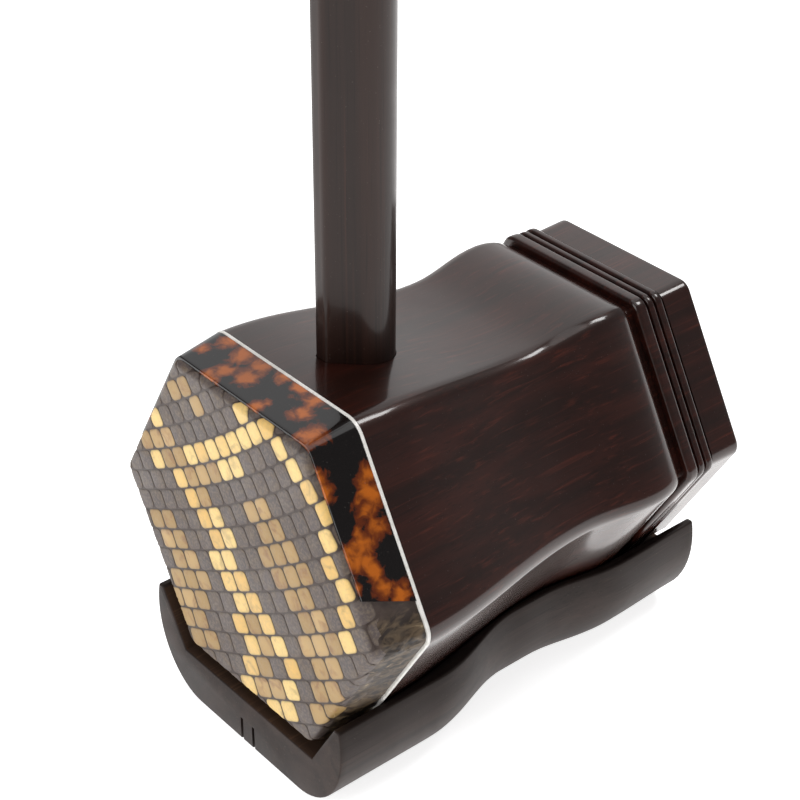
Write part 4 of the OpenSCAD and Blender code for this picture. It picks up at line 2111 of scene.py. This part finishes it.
@dataclass
class Studio:
    """A pale floor, soft lamps and the camera."""

    azimuth: float = 49.552
    elevation: float = 32.883
    roll: float = 0.441
    distance: float = 488.063
    lens: float = 88.147
    aim: Vector = field(default_factory=lambda: Vector((-14.991, 60.0, 10.299)))
    ambient: float = 0.2
    floor_glow: float = 0.8

    LAMPS = (
        Softbox("overhead_lamp", 0.0, 90.0, 1.9, 1.7, 12.0),
        Softbox("back_left_lamp", -130.0, 33.0, 1.5, 1.5, 5.5),
        Softbox("front_lamp", 0.0, 28.0, 1.8, 1.2, 14.0),
        Softbox("corner_lamp", 163.0, 54.0, 1.4, 0.35, 6.0),
    )

    def away(self, azimuth: float, elevation: float) -> Vector:
        """Gives the way towards an azimuth, with 0 in front and 90 on the right."""
        a, e = math.radians(azimuth), math.radians(elevation)
        return Vector((math.sin(a) * math.cos(e), -math.cos(a) * math.cos(e), math.sin(e)))

    def floor(self) -> None:
        """Lays the floor that the cradle stands on."""
        bm = bmesh.new()
        bmesh.ops.create_grid(bm, x_segments=8, y_segments=8, size=40.0)
        mesh = bpy.data.meshes.new("studio_floor")
        bm.to_mesh(mesh)
        bm.free()
        material = bpy.data.materials.new("pale_floor")
        material.use_nodes = True
        graph = Graph(material.node_tree)
        shader = next(n for n in graph.tree.nodes if n.type == "BSDF_PRINCIPLED")
        mottle = graph.noise(graph.place((1, 1, 1)), 3.0)
        colour = graph.blend(mottle, paint("f4f4f4"), paint("f8f8f7"))
        graph.tree.links.new(colour, shader.inputs["Base Color"])
        shader.inputs["Roughness"].default_value = 0.9
        shader.inputs["Emission Color"].default_value = (1.0, 1.0, 1.0, 1.0)
        shader.inputs["Emission Strength"].default_value = self.floor_glow
        mesh.materials.append(material)
        floor = bpy.data.objects.new("studio_floor", mesh)
        bpy.context.scene.collection.objects.link(floor)

    def lamps(self, centre: Vector) -> None:
        """Hangs the lamps round the sound box.

        Args:
            centre: The point that the lamps look at.
        """
        for box in self.LAMPS:
            light = bpy.data.lights.new(box.name, "AREA")
            light.shape = "SQUARE"
            light.size = box.size
            light.energy = box.power
            lamp = bpy.data.objects.new(box.name, light)
            way = self.away(box.azimuth, box.elevation)
            lamp.location = centre + way * box.distance
            lamp.rotation_euler = way.to_track_quat("Z", "Y").to_euler()
            bpy.context.scene.collection.objects.link(lamp)

    def world(self) -> None:
        """Fills the room with even, dim light."""
        world = bpy.data.worlds.new("studio_world")
        world.use_nodes = True
        shade = world.node_tree.nodes["Background"]
        shade.inputs["Color"].default_value = (0.96, 0.97, 1.0, 1.0)
        shade.inputs["Strength"].default_value = self.ambient
        bpy.context.scene.world = world
        bpy.context.scene.view_settings.view_transform = "Standard"

    def camera(self, bench: Bench) -> None:
        """Sets the camera up at its viewing angle.

        Args:
            bench: The bench that the pieces are finished on.
        """
        back = self.away(self.azimuth, self.elevation)
        turned = math.radians(self.azimuth)
        level = Vector((math.cos(turned), math.sin(turned), 0))
        up = back.cross(level)
        roll = math.radians(self.roll)
        right = level * math.cos(roll) + up * math.sin(roll)
        upright = up * math.cos(roll) - level * math.sin(roll)
        turn = Matrix((right, upright, back)).transposed().to_4x4()
        spot = bench.matrix @ (self.aim + back * self.distance)
        data = bpy.data.cameras.new("studio_camera")
        data.sensor_width = 36.0
        data.lens = self.lens
        data.clip_start = 0.02
        camera = bpy.data.objects.new("studio_camera", data)
        camera.matrix_world = Matrix.Translation(spot) @ turn
        bpy.context.scene.collection.objects.link(camera)
        bpy.context.scene.camera = camera

    def build(self, bench: Bench) -> None:
        """Builds the whole studio.

        Args:
            bench: The bench that the pieces are finished on.
        """
        self.floor()
        self.world()
        self.lamps(bench.matrix @ Vector((0, 60, 0)))
        self.camera(bench)


def main() -> None:
    """Loads the frame, reads the peg heights and the neck's top from it, and builds every
    sub-assembly.
    """
    logging.basicConfig(level=logging.INFO, format="%(name)s: %(message)s")
    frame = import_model()
    bench = Bench.from_frame()
    shape = BoxShape()
    heights = {j["child"]: bench.local(Vector(j["pos_m"])).z for j in frame["joints"]}
    top = bench.local(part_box("neck")[1]).z
    neck = NeckStick(shape, tuple(heights.values()), top)
    SoundBox(shape, neck).build(bench)
    SkinHead(shape).build(bench)
    neck.build(bench)
    Cradle(shape).build(bench)
    for body, height in heights.items():
        Tuner(body.removesuffix("_tuner"), body, height).build(bench)
    Studio().build(bench)


if __name__ == "__main__":
    main()
